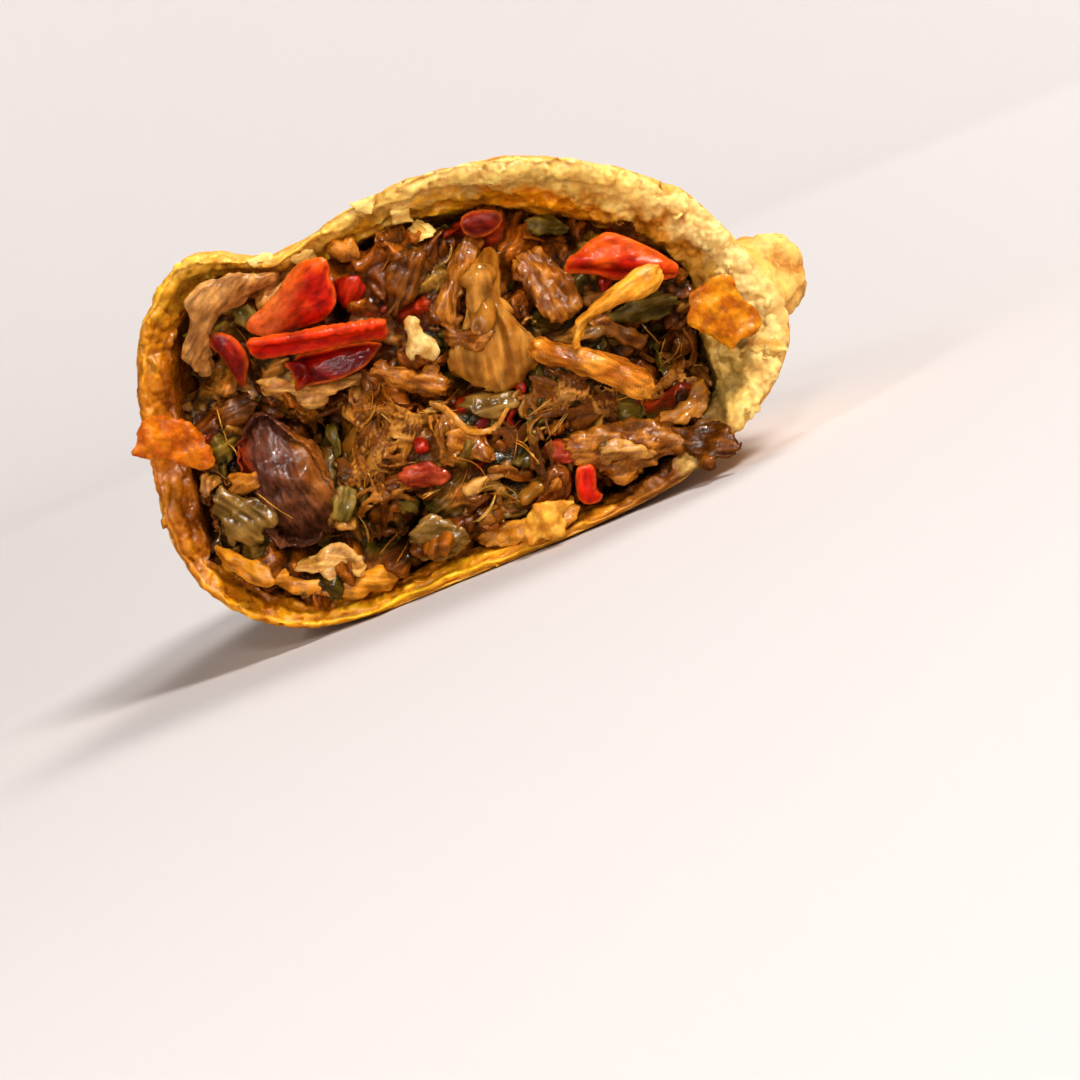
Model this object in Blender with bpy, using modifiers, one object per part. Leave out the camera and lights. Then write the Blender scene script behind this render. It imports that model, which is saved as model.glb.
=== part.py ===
"""Half of a baked half-moon turnover, broken across its middle to show pulled pork and peppers.

The pastry case is a loft of sections that run back from the break to the closed tip, with a thick
rolled crimp fused along its curved edge. The filling is one heap that runs back through the case,
with its shreds and dice fused on, and the largest pieces sit in sockets in its face.

Sizes below are in millimetres, and every mesh is made in metres. The break faces -Y, the folded edge
is at -X, the crimped edge at +X, and the half stands on its flat baked base.
"""

import math
import random

import bmesh
import bpy
import numpy as np
from mathutils import Euler, Vector, noise

MM = 0.001

BREAK_WIDTH = 75.0
HEIGHT = 46.0
DEPTH = 60.0
TIP_X = -19.0
TIP_Z = 8.0
BREAK_BLEND = 20.0
CAVITY_DEPTH = 52.0
CAVITY_ROUNDING = 11.0
GAP = 0.55
SOCKET_GAP = 0.6

SAMPLES_PER_SPAN = 3
OUTER_STATIONS = 22
INNER_STATIONS = 9
HEAP_STATIONS = (0, 1, 2, 4, 6, 8)

# Outlines are (across, up) as shares of the width and height, from the crimp's end over the crown to
# the fold and back along the base. Each row is one feature, so the two outlines and the lining match.
FEATURES = (
    # at the break      in the body     wall to the lining, mm
    ((1.000, 0.310), (1.000, 0.350), (-10.6, 0.6)),
    ((0.972, 0.505), (0.975, 0.460), (-7.2, -1.6)),
    ((0.942, 0.635), (0.920, 0.570), (-5.8, -3.8)),
    ((0.872, 0.755), (0.835, 0.735), (-4.8, -4.6)),
    ((0.740, 0.892), (0.695, 0.870), (-3.2, -5.0)),
    ((0.590, 0.950), (0.550, 0.925), (-1.2, -4.5)),
    ((0.440, 0.950), (0.420, 0.955), (0.4, -4.2)),
    ((0.308, 0.918), (0.290, 0.930), (0.8, -3.1)),
    ((0.205, 1.000), (0.180, 0.905), (1.0, -3.5)),
    ((0.118, 0.948), (0.090, 0.795), (2.6, -3.0)),
    ((0.040, 0.775), (0.024, 0.620), (4.0, -1.6)),
    ((-0.006, 0.430), (-0.006, 0.400), (4.2, 0.0)),
    ((0.010, 0.205), (0.014, 0.190), (3.4, 1.6)),
    ((0.106, 0.050), (0.108, 0.048), (2.3, 2.6)),
    ((0.250, 0.000), (0.250, 0.000), (1.0, 3.0)),
    ((0.480, 0.000), (0.480, 0.000), (0.0, 2.8)),
    ((0.690, 0.012), (0.690, 0.010), (-0.8, 2.4)),
    ((0.835, 0.070), (0.845, 0.090), (-3.4, 2.4)),
    ((0.953, 0.165), (0.952, 0.220), (-7.6, 1.6)),
)

CRIMP_START_DEG = 7.5
CRIMP_END_DEG = 98.0
CRIMP_POINTS = 46
CRIMP_RADIUS = 4.7
CRIMP_EAR_RADIUS = 6.7
CRIMP_INSET = 2.5
CRIMP_PLEATS = 5
CRIMP_Z_START = 18.6
CRIMP_Z_END = 11.0
DIMPLE_INSET = 11.0
DIMPLE_RADIUS = 4.6
DIMPLE_DEPTH = 2.6

FLAKE_POINTS = 12

BROWN = (0.30, 0.115, 0.028)
MATERIALS = {
    "pastry": ((0.66, 0.33, 0.085), 0.55),
    "filling": (BROWN, 0.35),
    "red_pepper": ((0.62, 0.022, 0.008), 0.15),
    "orange_pepper": ((0.70, 0.06, 0.01), 0.15),
    "dark_pepper": ((0.25, 0.012, 0.008), 0.2),
    "dark_meat": ((0.105, 0.038, 0.028), 0.35),
    "pale_meat": ((0.46, 0.22, 0.085), 0.5),
    "shred": ((0.50, 0.19, 0.04), 0.3),
    "onion": ((0.44, 0.20, 0.06), 0.2),
    "oiled_crumb": ((0.80, 0.24, 0.01), 0.35),
    "pale_crumb": ((0.78, 0.50, 0.16), 0.7),
}

# Pockets between the shreds: across, up, radius and depth.
POCKETS = (
    (-27.5, 30.5, 3.0, 5.0),
    (-15.5, 30.6, 2.4, 3.0),
    (7.0, 33.5, 3.4, 3.4),
    (21.0, 17.0, 4.6, 5.5),
    (15.5, 12.5, 2.6, 3.5),
    (-4.0, 20.5, 2.4, 3.0),
    (-14.5, 23.0, 2.2, 2.6),
    (-17.0, 8.5, 2.6, 2.6),
    (3.0, 7.5, 2.2, 2.4),
    (13.5, 26.0, 2.2, 3.0),
)

# Shreds seen in the break: across and up at both ends, width, bow to the side, and how proud they stand.
SHREDS = (
    (6.4, 34.6, -0.4, 30.6, 3.0, 0.8, 1.4),
    (-0.4, 30.2, 3.4, 22.4, 3.2, -1.2, 1.6),
    (10.0, 31.0, 14.6, 22.6, 3.0, 0.6, 1.2),
    (4.6, 30.4, 12.0, 21.8, 2.6, 0.8, 1.4),
    (2.6, 34.4, -5.6, 27.0, 2.0, 1.0, 0.6),
    (-20.8, 27.4, -9.6, 26.0, 2.4, 1.4, 0.8),
    (-7.2, 22.4, 4.8, 17.2, 1.5, 3.6, 1.6),
    (-5.2, 16.0, 6.4, 8.4, 2.6, -0.8, 1.0),
    (7.6, 10.2, 18.4, 5.2, 2.2, 0.6, 0.8),
    (-10.4, 26.4, -2.8, 24.6, 2.6, -0.8, 1.4),
    (-11.6, 25.2, -13.0, 16.4, 2.4, 0.8, 0.8),
    (-8.6, 21.6, -12.6, 11.0, 2.0, 1.0, 0.8),
    (-18.0, 20.4, -16.0, 13.8, 2.0, -0.8, 0.6),
    (14.6, 22.0, 20.6, 15.4, 2.4, -0.6, 0.4),
    (-24.0, 9.8, -14.0, 5.4, 3.0, 0.6, 0.6),
    (-9.0, 9.6, -1.4, 4.8, 2.8, -0.6, 0.8),
    (5.0, 14.4, 12.4, 9.4, 2.6, 0.6, 1.0),
    (17.2, 10.4, 23.4, 5.8, 2.6, -0.4, 1.0),
)
SCATTERED_SHREDS = 13
DICE = 9
SEED = 11


def clear_scene():
    for item in list(bpy.data.objects):
        bpy.data.objects.remove(item)


def new_collection(name):
    made = bpy.data.collections.new(name)
    bpy.context.scene.collection.children.link(made)
    return made


def material(name):
    """A Principled material of the photograph's colour for that food."""
    if name in bpy.data.materials:
        return bpy.data.materials[name]
    colour, roughness = MATERIALS[name]
    made = bpy.data.materials.new(name)
    made.use_nodes = True
    shader = made.node_tree.nodes["Principled BSDF"]
    shader.inputs["Base Color"].default_value = (*colour, 1.0)
    shader.inputs["Roughness"].default_value = roughness
    shader.inputs["Metallic"].default_value = 0.0
    return made


def new_object(name, mesh, collection, finish=None):
    made = bpy.data.objects.new(name, mesh)
    collection.objects.link(made)
    if finish:
        mesh.materials.clear()
        mesh.materials.append(material(finish))
    return made


def smoothstep(value):
    value = np.clip(value, 0.0, 1.0)
    return value * value * (3.0 - 2.0 * value)


def relief(point, size, seed):
    """Smooth noise from -1 to 1 at a point in millimetres, with lumps of that size."""
    where = Vector((float(point[0]), float(point[1]), float(point[2]))) / size
    return noise.noise(where + Vector((seed * 7.3, seed * 3.1, seed * 1.7)))


def closed_curve(knots):
    """Samples a smooth closed curve through the knots, a fixed number to each span."""
    knots = np.array(knots, float)
    before, after, beyond = (np.roll(knots, shift, axis=0) for shift in (1, -1, -2))
    samples = []
    for share in np.arange(SAMPLES_PER_SPAN) / SAMPLES_PER_SPAN:
        cubic = (
            2 * knots
            + (after - before) * share
            + (2 * before - 5 * knots + 4 * after - beyond) * share**2
            + (3 * knots - before - 3 * after + beyond) * share**3
        )
        samples.append(cubic / 2)
    return np.stack(samples, axis=1).reshape(-1, knots.shape[1])


AT_BREAK = closed_curve([row[0] for row in FEATURES])
IN_BODY = closed_curve([row[1] for row in FEATURES])
WALL = closed_curve([row[2] for row in FEATURES])
AROUND = len(AT_BREAK)


def across_limits(y):
    """The fold's and the crimp's place across, at a depth behind the break."""
    share = np.clip(y / DEPTH, 0.0, 1.0)
    half = BREAK_WIDTH / 2
    fold = TIP_X - (TIP_X + half) * (1 - share**4.5) ** (1 / 2.2)
    crimp = TIP_X + (half - TIP_X) * (1 - share**2.2) ** 0.5
    return fold, crimp


def smooth_skin(y):
    """The case's outside before its relief: one point for each step round, each at its own depth y."""
    share = np.clip(y / DEPTH, 0.0, 1.0)
    broken = (1 - smoothstep(y / BREAK_BLEND))[:, None]
    outline = broken * AT_BREAK + (1 - broken) * IN_BODY
    fold, crimp = across_limits(y)
    tall = HEIGHT * (1 - share**2.8) ** (1 / 2.2)
    lift = TIP_Z * smoothstep((share - 0.72) / 0.28)
    x = fold + outline[:, 0] * (crimp - fold)
    z = lift + np.maximum(outline[:, 1], 0.0) * tall
    return np.stack([x, y, z], axis=1)


def lining(y, gap=0.0):
    """The cavity's wall, or what stands clear of it by a gap: one point for each step round."""
    ring = smooth_skin(y)
    ring[:, [0, 2]] += WALL
    fold, crimp = across_limits(y)
    middle = np.stack([(fold + crimp) / 2 - 3.0, ring[:, 2].min() + 17.0 + 0 * y], axis=1)
    inward = middle - ring[:, [0, 2]]
    reach = np.linalg.norm(inward, axis=1, keepdims=True)
    into_end = np.clip((y - (CAVITY_DEPTH - CAVITY_ROUNDING)) / CAVITY_ROUNDING, 0.0, 1.0)
    closing = (1 - np.sqrt(1 - (into_end * 0.985) ** 2))[:, None]
    ring[:, [0, 2]] += inward * (closing + (1 - closing) * gap / reach)
    return ring


def crimp_path():
    """The rolled edge's centre line, its radius at each point, and the pleats' inner corners."""
    path, radii, corners = [], [], []
    half = BREAK_WIDTH / 2
    for step in range(CRIMP_POINTS):
        share = step / (CRIMP_POINTS - 1)
        angle = math.radians(CRIMP_START_DEG + (CRIMP_END_DEG - CRIMP_START_DEG) * share)
        reach = half - TIP_X
        out = Vector((math.cos(angle) / reach, math.sin(angle) / DEPTH, 0)).normalized()
        x = TIP_X + reach * math.cos(angle)
        y = DEPTH * abs(math.sin(angle)) ** (2 / 2.2)
        z = CRIMP_Z_END + (CRIMP_Z_START - CRIMP_Z_END) * (1 - share) ** 1.6
        in_pleat = (share * CRIMP_PLEATS) % 1.0
        swell = 0.80 + 0.38 * in_pleat if in_pleat < 0.86 else 1.13 - 2.4 * (in_pleat - 0.86)
        ear = max(0.0, 1 - share / 0.10)
        radius = CRIMP_RADIUS * swell * (1 - ear) + CRIMP_EAR_RADIUS * ear
        edge = round(min(share, 1 - share) * (CRIMP_POINTS - 1))
        rounding = (0.5, 0.85, 1.0)[min(edge, 2)]
        inset = CRIMP_INSET + 0.5 * math.sin(2 * math.pi * in_pleat) - 3.6 * ear
        path.append(Vector((x, y, z)) - out * inset)
        radii.append(radius * rounding * (1 - 0.12 * share))
    for pleat in range(1, CRIMP_PLEATS):
        angle = math.radians(
            CRIMP_START_DEG + (CRIMP_END_DEG - CRIMP_START_DEG) * (pleat - 0.12) / CRIMP_PLEATS
        )
        corners.append(
            (
                TIP_X + (half - DIMPLE_INSET - TIP_X) * math.cos(angle),
                (DEPTH - DIMPLE_INSET) * math.sin(angle) ** (2 / 2.2),
            )
        )
    return path, radii, corners


def baked(ring, corners):
    """Adds the pleats' dimples and the oven's blisters to a ring of the case's outside."""
    made = ring.copy()
    for row in made:
        above_base = float(smoothstep((row[2] - 1.0) / 5.0))
        if above_base == 0.0:
            continue
        out = Vector((row[0] - TIP_X, row[1] * 0.6, row[2] - HEIGHT * 0.4)).normalized()
        push = 0.55 * relief(row, 13.0, 1) + 0.3 * relief(row, 6.0, 2)
        if row[2] > CRIMP_Z_END + 4.0:
            for x, y in corners:
                apart = math.hypot(row[0] - x, row[1] - y)
                push -= DIMPLE_DEPTH * math.exp(-((apart / DIMPLE_RADIUS) ** 2))
        row += np.array(out) * push * above_base
    return made


def loft(name, rings, collection, finish):
    """One closed solid through the rings, with both ends closed to a middle point."""
    mesh = bpy.data.meshes.new(name)
    form = bmesh.new()
    rows = [[form.verts.new(Vector(point) * MM) for point in ring] for ring in rings]
    for first, second in zip(rows, rows[1:]):
        for step in range(len(first)):
            after = (step + 1) % len(first)
            form.faces.new((first[step], first[after], second[after], second[step]))
    for row, ring in ((rows[0], rings[0]), (rows[-1], rings[-1])):
        middle = form.verts.new(Vector(np.mean(ring, axis=0)) * MM)
        for step in range(len(row)):
            form.faces.new((row[step], row[(step + 1) % len(row)], middle))
    bmesh.ops.recalc_face_normals(form, faces=form.faces)
    form.to_mesh(mesh)
    form.free()
    return new_object(name, mesh, collection, finish)


def torn_back():
    """How far behind the break's plane each step round starts: the torn crimp runs back."""
    toward_crimp = smoothstep((AT_BREAK[:, 0] - 0.80) / 0.20)
    ragged = [1.1 * relief((a * 75, 0, h * 46), 4.0, 3) for a, h in AT_BREAK]
    return 5.5 * toward_crimp + np.array(ragged)


def cavity_stations():
    """The depths of the cavity's rings behind the break, the same for the lining and the heap."""
    under_crown = smoothstep((AT_BREAK[:, 1] - 0.7) / 0.2) * smoothstep((AT_BREAK[:, 0] - 0.3) / 0.2)
    lip = torn_back() * 0.75 + 0.5 + 3.6 * under_crown
    shares = [(station / (INNER_STATIONS - 1)) ** 1.15 for station in range(INNER_STATIONS)]
    return [lip * (1 - share) + CAVITY_DEPTH * share for share in shares]


def make_case(collection, corners):
    """The pastry case: cavity, torn lip and baked outside, in one loft from the cavity's end."""
    start = torn_back()
    stations = cavity_stations()
    rings = [lining(y) for y in reversed(stations)]
    inside, outside = lining(stations[0]), smooth_skin(start)
    for share, proud in ((0.22, 0.8), (0.50, 1.5), (0.78, 1.3)):
        ring = inside * (1 - share) + outside * share
        for row in ring:
            row[1] -= proud + 1.3 * relief(row, 2.6, 5 + share)
            row[0] += 0.5 * relief(row, 2.2, 8)
            row[2] += 0.5 * relief(row, 2.2, 9)
        ring[:, 2] = np.maximum(ring[:, 2], 0.6)
        rings.append(ring)
    for station in range(OUTER_STATIONS + 1):
        share = math.sin(math.pi / 2 * station / (OUTER_STATIONS + 0.35))
        rings.append(baked(smooth_skin(start * (1 - share) + DEPTH * share), corners))
    return loft("pastry_case", rings, collection, "pastry")


def curve_solid(name, path, radii, depth, collection, sides=2, flat=1.0, out=None):
    """A closed mesh tube along a path in millimetres, its sides flattened along out."""
    line = bpy.data.curves.new(name, "CURVE")
    line.dimensions = "3D"
    line.bevel_depth = depth * MM
    line.bevel_resolution = sides
    line.use_fill_caps = True
    spline = line.splines.new("POLY")
    spline.points.add(len(path) - 1)
    for point, place, radius in zip(spline.points, path, radii):
        point.co = (*(Vector(place) * MM), 1.0)
        point.radius = radius / depth
    drawn = bpy.data.objects.new(name, line)
    collection.objects.link(drawn)
    graph = bpy.context.evaluated_depsgraph_get()
    graph.update()
    mesh = bpy.data.meshes.new_from_object(drawn.evaluated_get(graph))
    bpy.data.objects.remove(drawn)
    form = bmesh.new()
    form.from_mesh(mesh)
    bmesh.ops.remove_doubles(form, verts=form.verts, dist=0.00002)
    if flat != 1.0:
        centres = np.array([tuple(p) for p in path]) * MM
        for vertex in form.verts:
            near = np.argmin(np.linalg.norm(centres - np.array(vertex.co), axis=1))
            offset = vertex.co - Vector(centres[near])
            vertex.co -= out * offset.dot(out) * (1.0 - flat)
    bmesh.ops.recalc_face_normals(form, faces=form.faces)
    form.to_mesh(mesh)
    form.free()
    return new_object(name, mesh, collection)


def largest_body(mesh):
    """Keeps the largest body of a mesh, so that scraps and sealed hollows go."""
    form = bmesh.new()
    form.from_mesh(mesh)
    bmesh.ops.triangulate(form, faces=form.faces)
    unseen, bodies = set(form.faces), []
    while unseen:
        reached = [unseen.pop()]
        for face in reached:
            shared = [edge for edge in face.edges if len(edge.link_faces) == 2]
            for other in (near for edge in shared for near in edge.link_faces):
                if other in unseen:
                    unseen.remove(other)
                    reached.append(other)
        bodies.append(reached)
    bodies.sort(key=len)
    for body in bodies[:-1]:
        bmesh.ops.delete(form, geom=body, context="FACES")
    form.to_mesh(mesh)
    form.free()


def joined(target, operation, others):
    """Applies one Boolean of a whole collection to the target, and removes the collection's objects."""
    change = target.modifiers.new(operation.lower(), "BOOLEAN")
    change.operation = operation
    change.operand_type = "COLLECTION"
    change.collection = others
    change.solver = "MANIFOLD"
    graph = bpy.context.evaluated_depsgraph_get()
    graph.update()
    mesh = bpy.data.meshes.new_from_object(target.evaluated_get(graph))
    target.modifiers.clear()
    largest_body(mesh)
    target.data = mesh
    for item in list(others.objects):
        bpy.data.objects.remove(item)
    bpy.data.collections.remove(others)


def face_depth(x, z):
    """How far the heap's face lies behind the break's plane, between its pockets and mounds."""
    under_crown = smoothstep((x - 2.0) / 14.0) * smoothstep((z - 23.0) / 9.0)
    by_crimp = smoothstep((x - 15.0) / 10.0)
    depth = 0.9 + 3.6 * under_crown + 2.0 * by_crimp
    depth -= 1.6 * math.exp(-(((x + 4.0) / 15.0) ** 2) - ((z - 12.0) / 9.0) ** 2)
    depth += 1.1 * relief((x, 0.0, z), 5.2, 21) + 0.7 * relief((x, 0.0, z), 2.6, 22)
    for across, up, radius, deep in POCKETS:
        apart = math.hypot(x - across, z - up) / radius
        depth += deep * math.exp(-(apart**2))
    return float(depth)


def heap_edge():
    """The heap's outline where its face meets the lining."""
    near = lining(np.full(AROUND, 1.0), GAP)
    return lining(np.array([face_depth(x, z) for x, _, z in near]), GAP)


def make_heap(collection):
    """The heap's bare core: a rough face, sides clear of the lining, and a closed end."""
    edge = heap_edge()
    middle = np.array([-3.0, 0.0, 19.0])
    rings = []
    for share in (0.07, 0.2, 0.33, 0.46, 0.59, 0.71, 0.82, 0.92):
        ring = middle + (edge - middle) * share
        ring[:, 1] = [face_depth(x, z) for x, _, z in ring]
        rings.append(ring)
    rings.append(edge)
    start = edge[:, 1]
    for station, y in enumerate(cavity_stations()):
        if station in HEAP_STATIONS:
            behind = station / INNER_STATIONS
            ring = lining(np.maximum(y, start + 0.4), GAP * (1 + behind))
            ring[:, 1] -= 0.9 * behind
            rings.append(ring)
    return loft("filling", rings, collection, "filling")


def kept_inside(x, z, margin):
    """Moves a point of the face toward the middle until it is that far inside the heap's outline."""
    edge = heap_edge()[:, [0, 2]]
    middle = np.array([-3.0, 19.0])
    point = np.array([x, z])
    for _ in range(40):
        angle = math.atan2(point[1] - middle[1], point[0] - middle[0])
        angles = np.arctan2(edge[:, 1] - middle[1], edge[:, 0] - middle[0])
        nearest = edge[np.argmin(np.abs(np.angle(np.exp(1j * (angles - angle)))))]
        inner = np.linalg.norm(nearest - middle) - margin
        apart = np.linalg.norm(edge - point, axis=1).min()
        if apart > margin and np.linalg.norm(point - middle) < inner:
            break
        point = middle + (point - middle) * 0.96
    return float(point[0]), float(point[1])


def make_shred(number, shred, collection):
    """A tapered, bowed shred lying on the heap's face."""
    x0, z0, x1, z1, width, bow, proud = shred
    x0, z0 = kept_inside(x0, z0, width / 2 + 1.0)
    x1, z1 = kept_inside(x1, z1, width / 2 + 1.0)
    side = Vector((-(z1 - z0), x1 - x0)).normalized()
    path, radii = [], []
    for step in range(5):
        share = step / 4
        swing = bow * math.sin(math.pi * share)
        x = x0 + (x1 - x0) * share + side[0] * swing
        z = z0 + (z1 - z0) * share + side[1] * swing
        x, z = kept_inside(x, z, width / 2 + 0.8)
        rise = proud * (0.45 + 0.55 * math.sin(math.pi * share))
        path.append(Vector((x, face_depth(x, z) - rise + 0.5, z)))
        radii.append(width / 2 * (0.45 + 0.55 * math.sin(math.pi * (0.12 + 0.76 * share))))
    return curve_solid(
        f"shred{number}", path, radii, width / 2, collection, 0, 0.62, Vector((0, 1, 0))
    )


def make_die(number, x, z, size, chance, collection):
    """A small rounded cube of vegetable, half sunk in the heap's face."""
    x, z = kept_inside(x, z, size * 0.9 + 0.8)
    mesh = bpy.data.meshes.new("die")
    form = bmesh.new()
    bmesh.ops.create_icosphere(form, subdivisions=1, radius=size / 2 * MM)
    for vertex in form.verts:
        vertex.co *= chance.uniform(0.82, 1.2)
    form.to_mesh(mesh)
    form.free()
    made = new_object(f"die{number}", mesh, collection)
    made.location = Vector((x, face_depth(x, z) - 0.15 * size, z)) * MM
    made.scale = (0.8, 0.8, 1.2)
    made.rotation_euler = (chance.uniform(0, 3), chance.uniform(0, 3), 0)
    return made


def add_small_pieces(heap, chance):
    """Fuses the shreds and dice to the heap."""
    small = new_collection("small_pieces")
    for number, shred in enumerate(SHREDS):
        make_shred(number, shred, small)
    edge = heap_edge()[:, [0, 2]]
    for number in range(SCATTERED_SHREDS):
        towards = edge[chance.randrange(AROUND)]
        reach = 0.3 + 0.62 * chance.random() ** 0.6
        x = -3.0 + (towards[0] + 3.0) * reach
        z = 19.0 + (towards[1] - 19.0) * reach
        angle = chance.gauss(-0.7, 0.7)
        length = chance.uniform(5.0, 9.0)
        ends = (math.cos(angle) * length / 2, math.sin(angle) * length / 2)
        shred = (
            x - ends[0],
            z - ends[1],
            x + ends[0],
            z + ends[1],
            chance.uniform(1.4, 2.4),
            chance.uniform(-0.9, 0.9),
            chance.uniform(0.3, 1.0),
        )
        make_shred(100 + number, shred, small)
    for number in range(DICE):
        towards = edge[chance.randrange(AROUND)]
        reach = 0.25 + 0.65 * chance.random() ** 0.6
        x = -3.0 + (towards[0] + 3.0) * reach
        z = 19.0 + (towards[1] - 19.0) * reach
        make_die(number, x, z, chance.uniform(2.2, 3.8), chance, small)
    joined(heap, "UNION", small)


def make_slice(name, finish, length, width, thick, at, turn, collection, **form_of):
    """A slice cut from a sheet: tapered, curled and wrinkled, with rounded edges."""
    taper, curl, cup, wrinkle = (form_of.get(k, 0.0) for k in ("taper", "curl", "cup", "wrinkle"))
    mesh = bpy.data.meshes.new(name)
    form = bmesh.new()
    bmesh.ops.create_grid(form, x_segments=form_of.get("steps", 4), y_segments=2, size=1.0)
    for vertex in form.verts:
        u, v = vertex.co.x, vertex.co.y
        x = u * length / 2
        y = v * width / 2 * (1 - taper * u) * (1 - 0.16 * u * u)
        z = -curl * u * u - cup * v * v + wrinkle * math.sin(3.1 * u + 1.3 * v + length)
        vertex.co = Vector((x, y, z)) * MM
    form.to_mesh(mesh)
    form.free()
    made = new_object(name, mesh, collection, finish)
    skin = made.modifiers.new("thickness", "SOLIDIFY")
    skin.thickness = thick * MM
    skin.offset = 0.0
    rounded = made.modifiers.new("rounded", "SUBSURF")
    rounded.levels = rounded.render_levels = 1
    place_on_face(made, at, turn)
    return made


def place_on_face(made, at, turn):
    """Puts a piece on the heap's face, with its own +Z looking out of the break.

    at is across, up and how proud of the face its middle stands. turn is its angles in degrees about
    the line of sight, its own length and its own width.
    """
    across, up, proud = at
    place(made, (across, face_depth(across, up) - proud, up), turn)


def place(made, at, turn):
    """Puts a piece at a point, turned as place_on_face says."""
    lean = Euler([math.radians(a) for a in (turn[1], turn[2], 0.0)]).to_matrix()
    facing = Euler((math.radians(90), 0, 0)).to_matrix()
    roll = Euler((0, 0, math.radians(turn[0]))).to_matrix()
    made.matrix_world = (facing @ roll @ lean).to_4x4()
    made.location = Vector(at) * MM


def make_chunk(name, finish, size, at, turn, seed, collection):
    """A torn lump of meat: a rounded form with grain running along it."""
    mesh = bpy.data.meshes.new(name)
    form = bmesh.new()
    bmesh.ops.create_icosphere(form, subdivisions=3 if size[0] > 10 else 2, radius=1.0)
    for vertex in form.verts:
        x, y, z = vertex.co
        grain = relief((x * 2.0, y * 9.0, z * 3.0), 2.2, seed)
        lump = relief((x * 3.0, y * 3.0, z * 3.0), 2.4, seed + 4)
        swell = 1.0 + 0.14 * lump + 0.07 * grain
        vertex.co = Vector((x * size[0], y * size[1], z * size[2])) * (swell / 2 * MM)
    form.to_mesh(mesh)
    form.free()
    made = new_object(name, mesh, collection, finish)
    place_on_face(made, at, turn)
    return made


def make_flake(name, finish, size, at, turn, seed, collection):
    """A torn flake of pastry: thin and wavy, with a jagged edge."""
    mesh = bpy.data.meshes.new(name)
    form = bmesh.new()
    bmesh.ops.create_circle(form, cap_ends=True, cap_tris=True, segments=FLAKE_POINTS, radius=1.0)
    for number, vertex in enumerate(form.verts):
        x, y, _ = vertex.co
        jag = 1.0 + 0.22 * relief((x * 5, y * 5, 0.0), 1.3, seed) + (0.10 if number % 2 else -0.10)
        wave = 0.9 * relief((x * 4, y * 4, 3.0), 2.4, seed + 1)
        vertex.co = Vector((x * size[0] / 2 * jag, y * size[1] / 2 * jag, wave)) * MM
    form.to_mesh(mesh)
    form.free()
    made = new_object(name, mesh, collection, finish)
    skin = made.modifiers.new("thickness", "SOLIDIFY")
    skin.thickness = size[2] * MM
    skin.offset = 0.0
    place(made, at, turn)
    return made


def make_crust_flakes(collection):
    """The flakes of crust that stand off the torn edge."""
    make_flake(
        "orange_flake", "oiled_crumb", (8.2, 7.2, 0.9), (-32.6, -4.2, 27.4), (-24, 0, 8), 4, collection
    )
    make_flake(
        "side_flake", "oiled_crumb", (8.6, 7.0, 0.9), (29.8, 0.6, 17.0), (-62, 0, 14), 7, collection
    )
    make_flake(
        "base_flake", "pale_crumb", (6.2, 4.2, 0.9), (4.2, -3.1, 3.3), (30, 0, -8), 12, collection
    )


def make_strip(name, finish, path, radii, flat, collection):
    """A limp strip of meat along a path of points across, up and proud of the heap's face."""
    points = [Vector((x, face_depth(x, z) - proud, z)) for x, z, proud in path]
    made = curve_solid(name, points, radii, max(radii), collection, 1, flat, Vector((0, 1, 0)))
    made.data.materials.append(material(finish))
    return made


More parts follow.
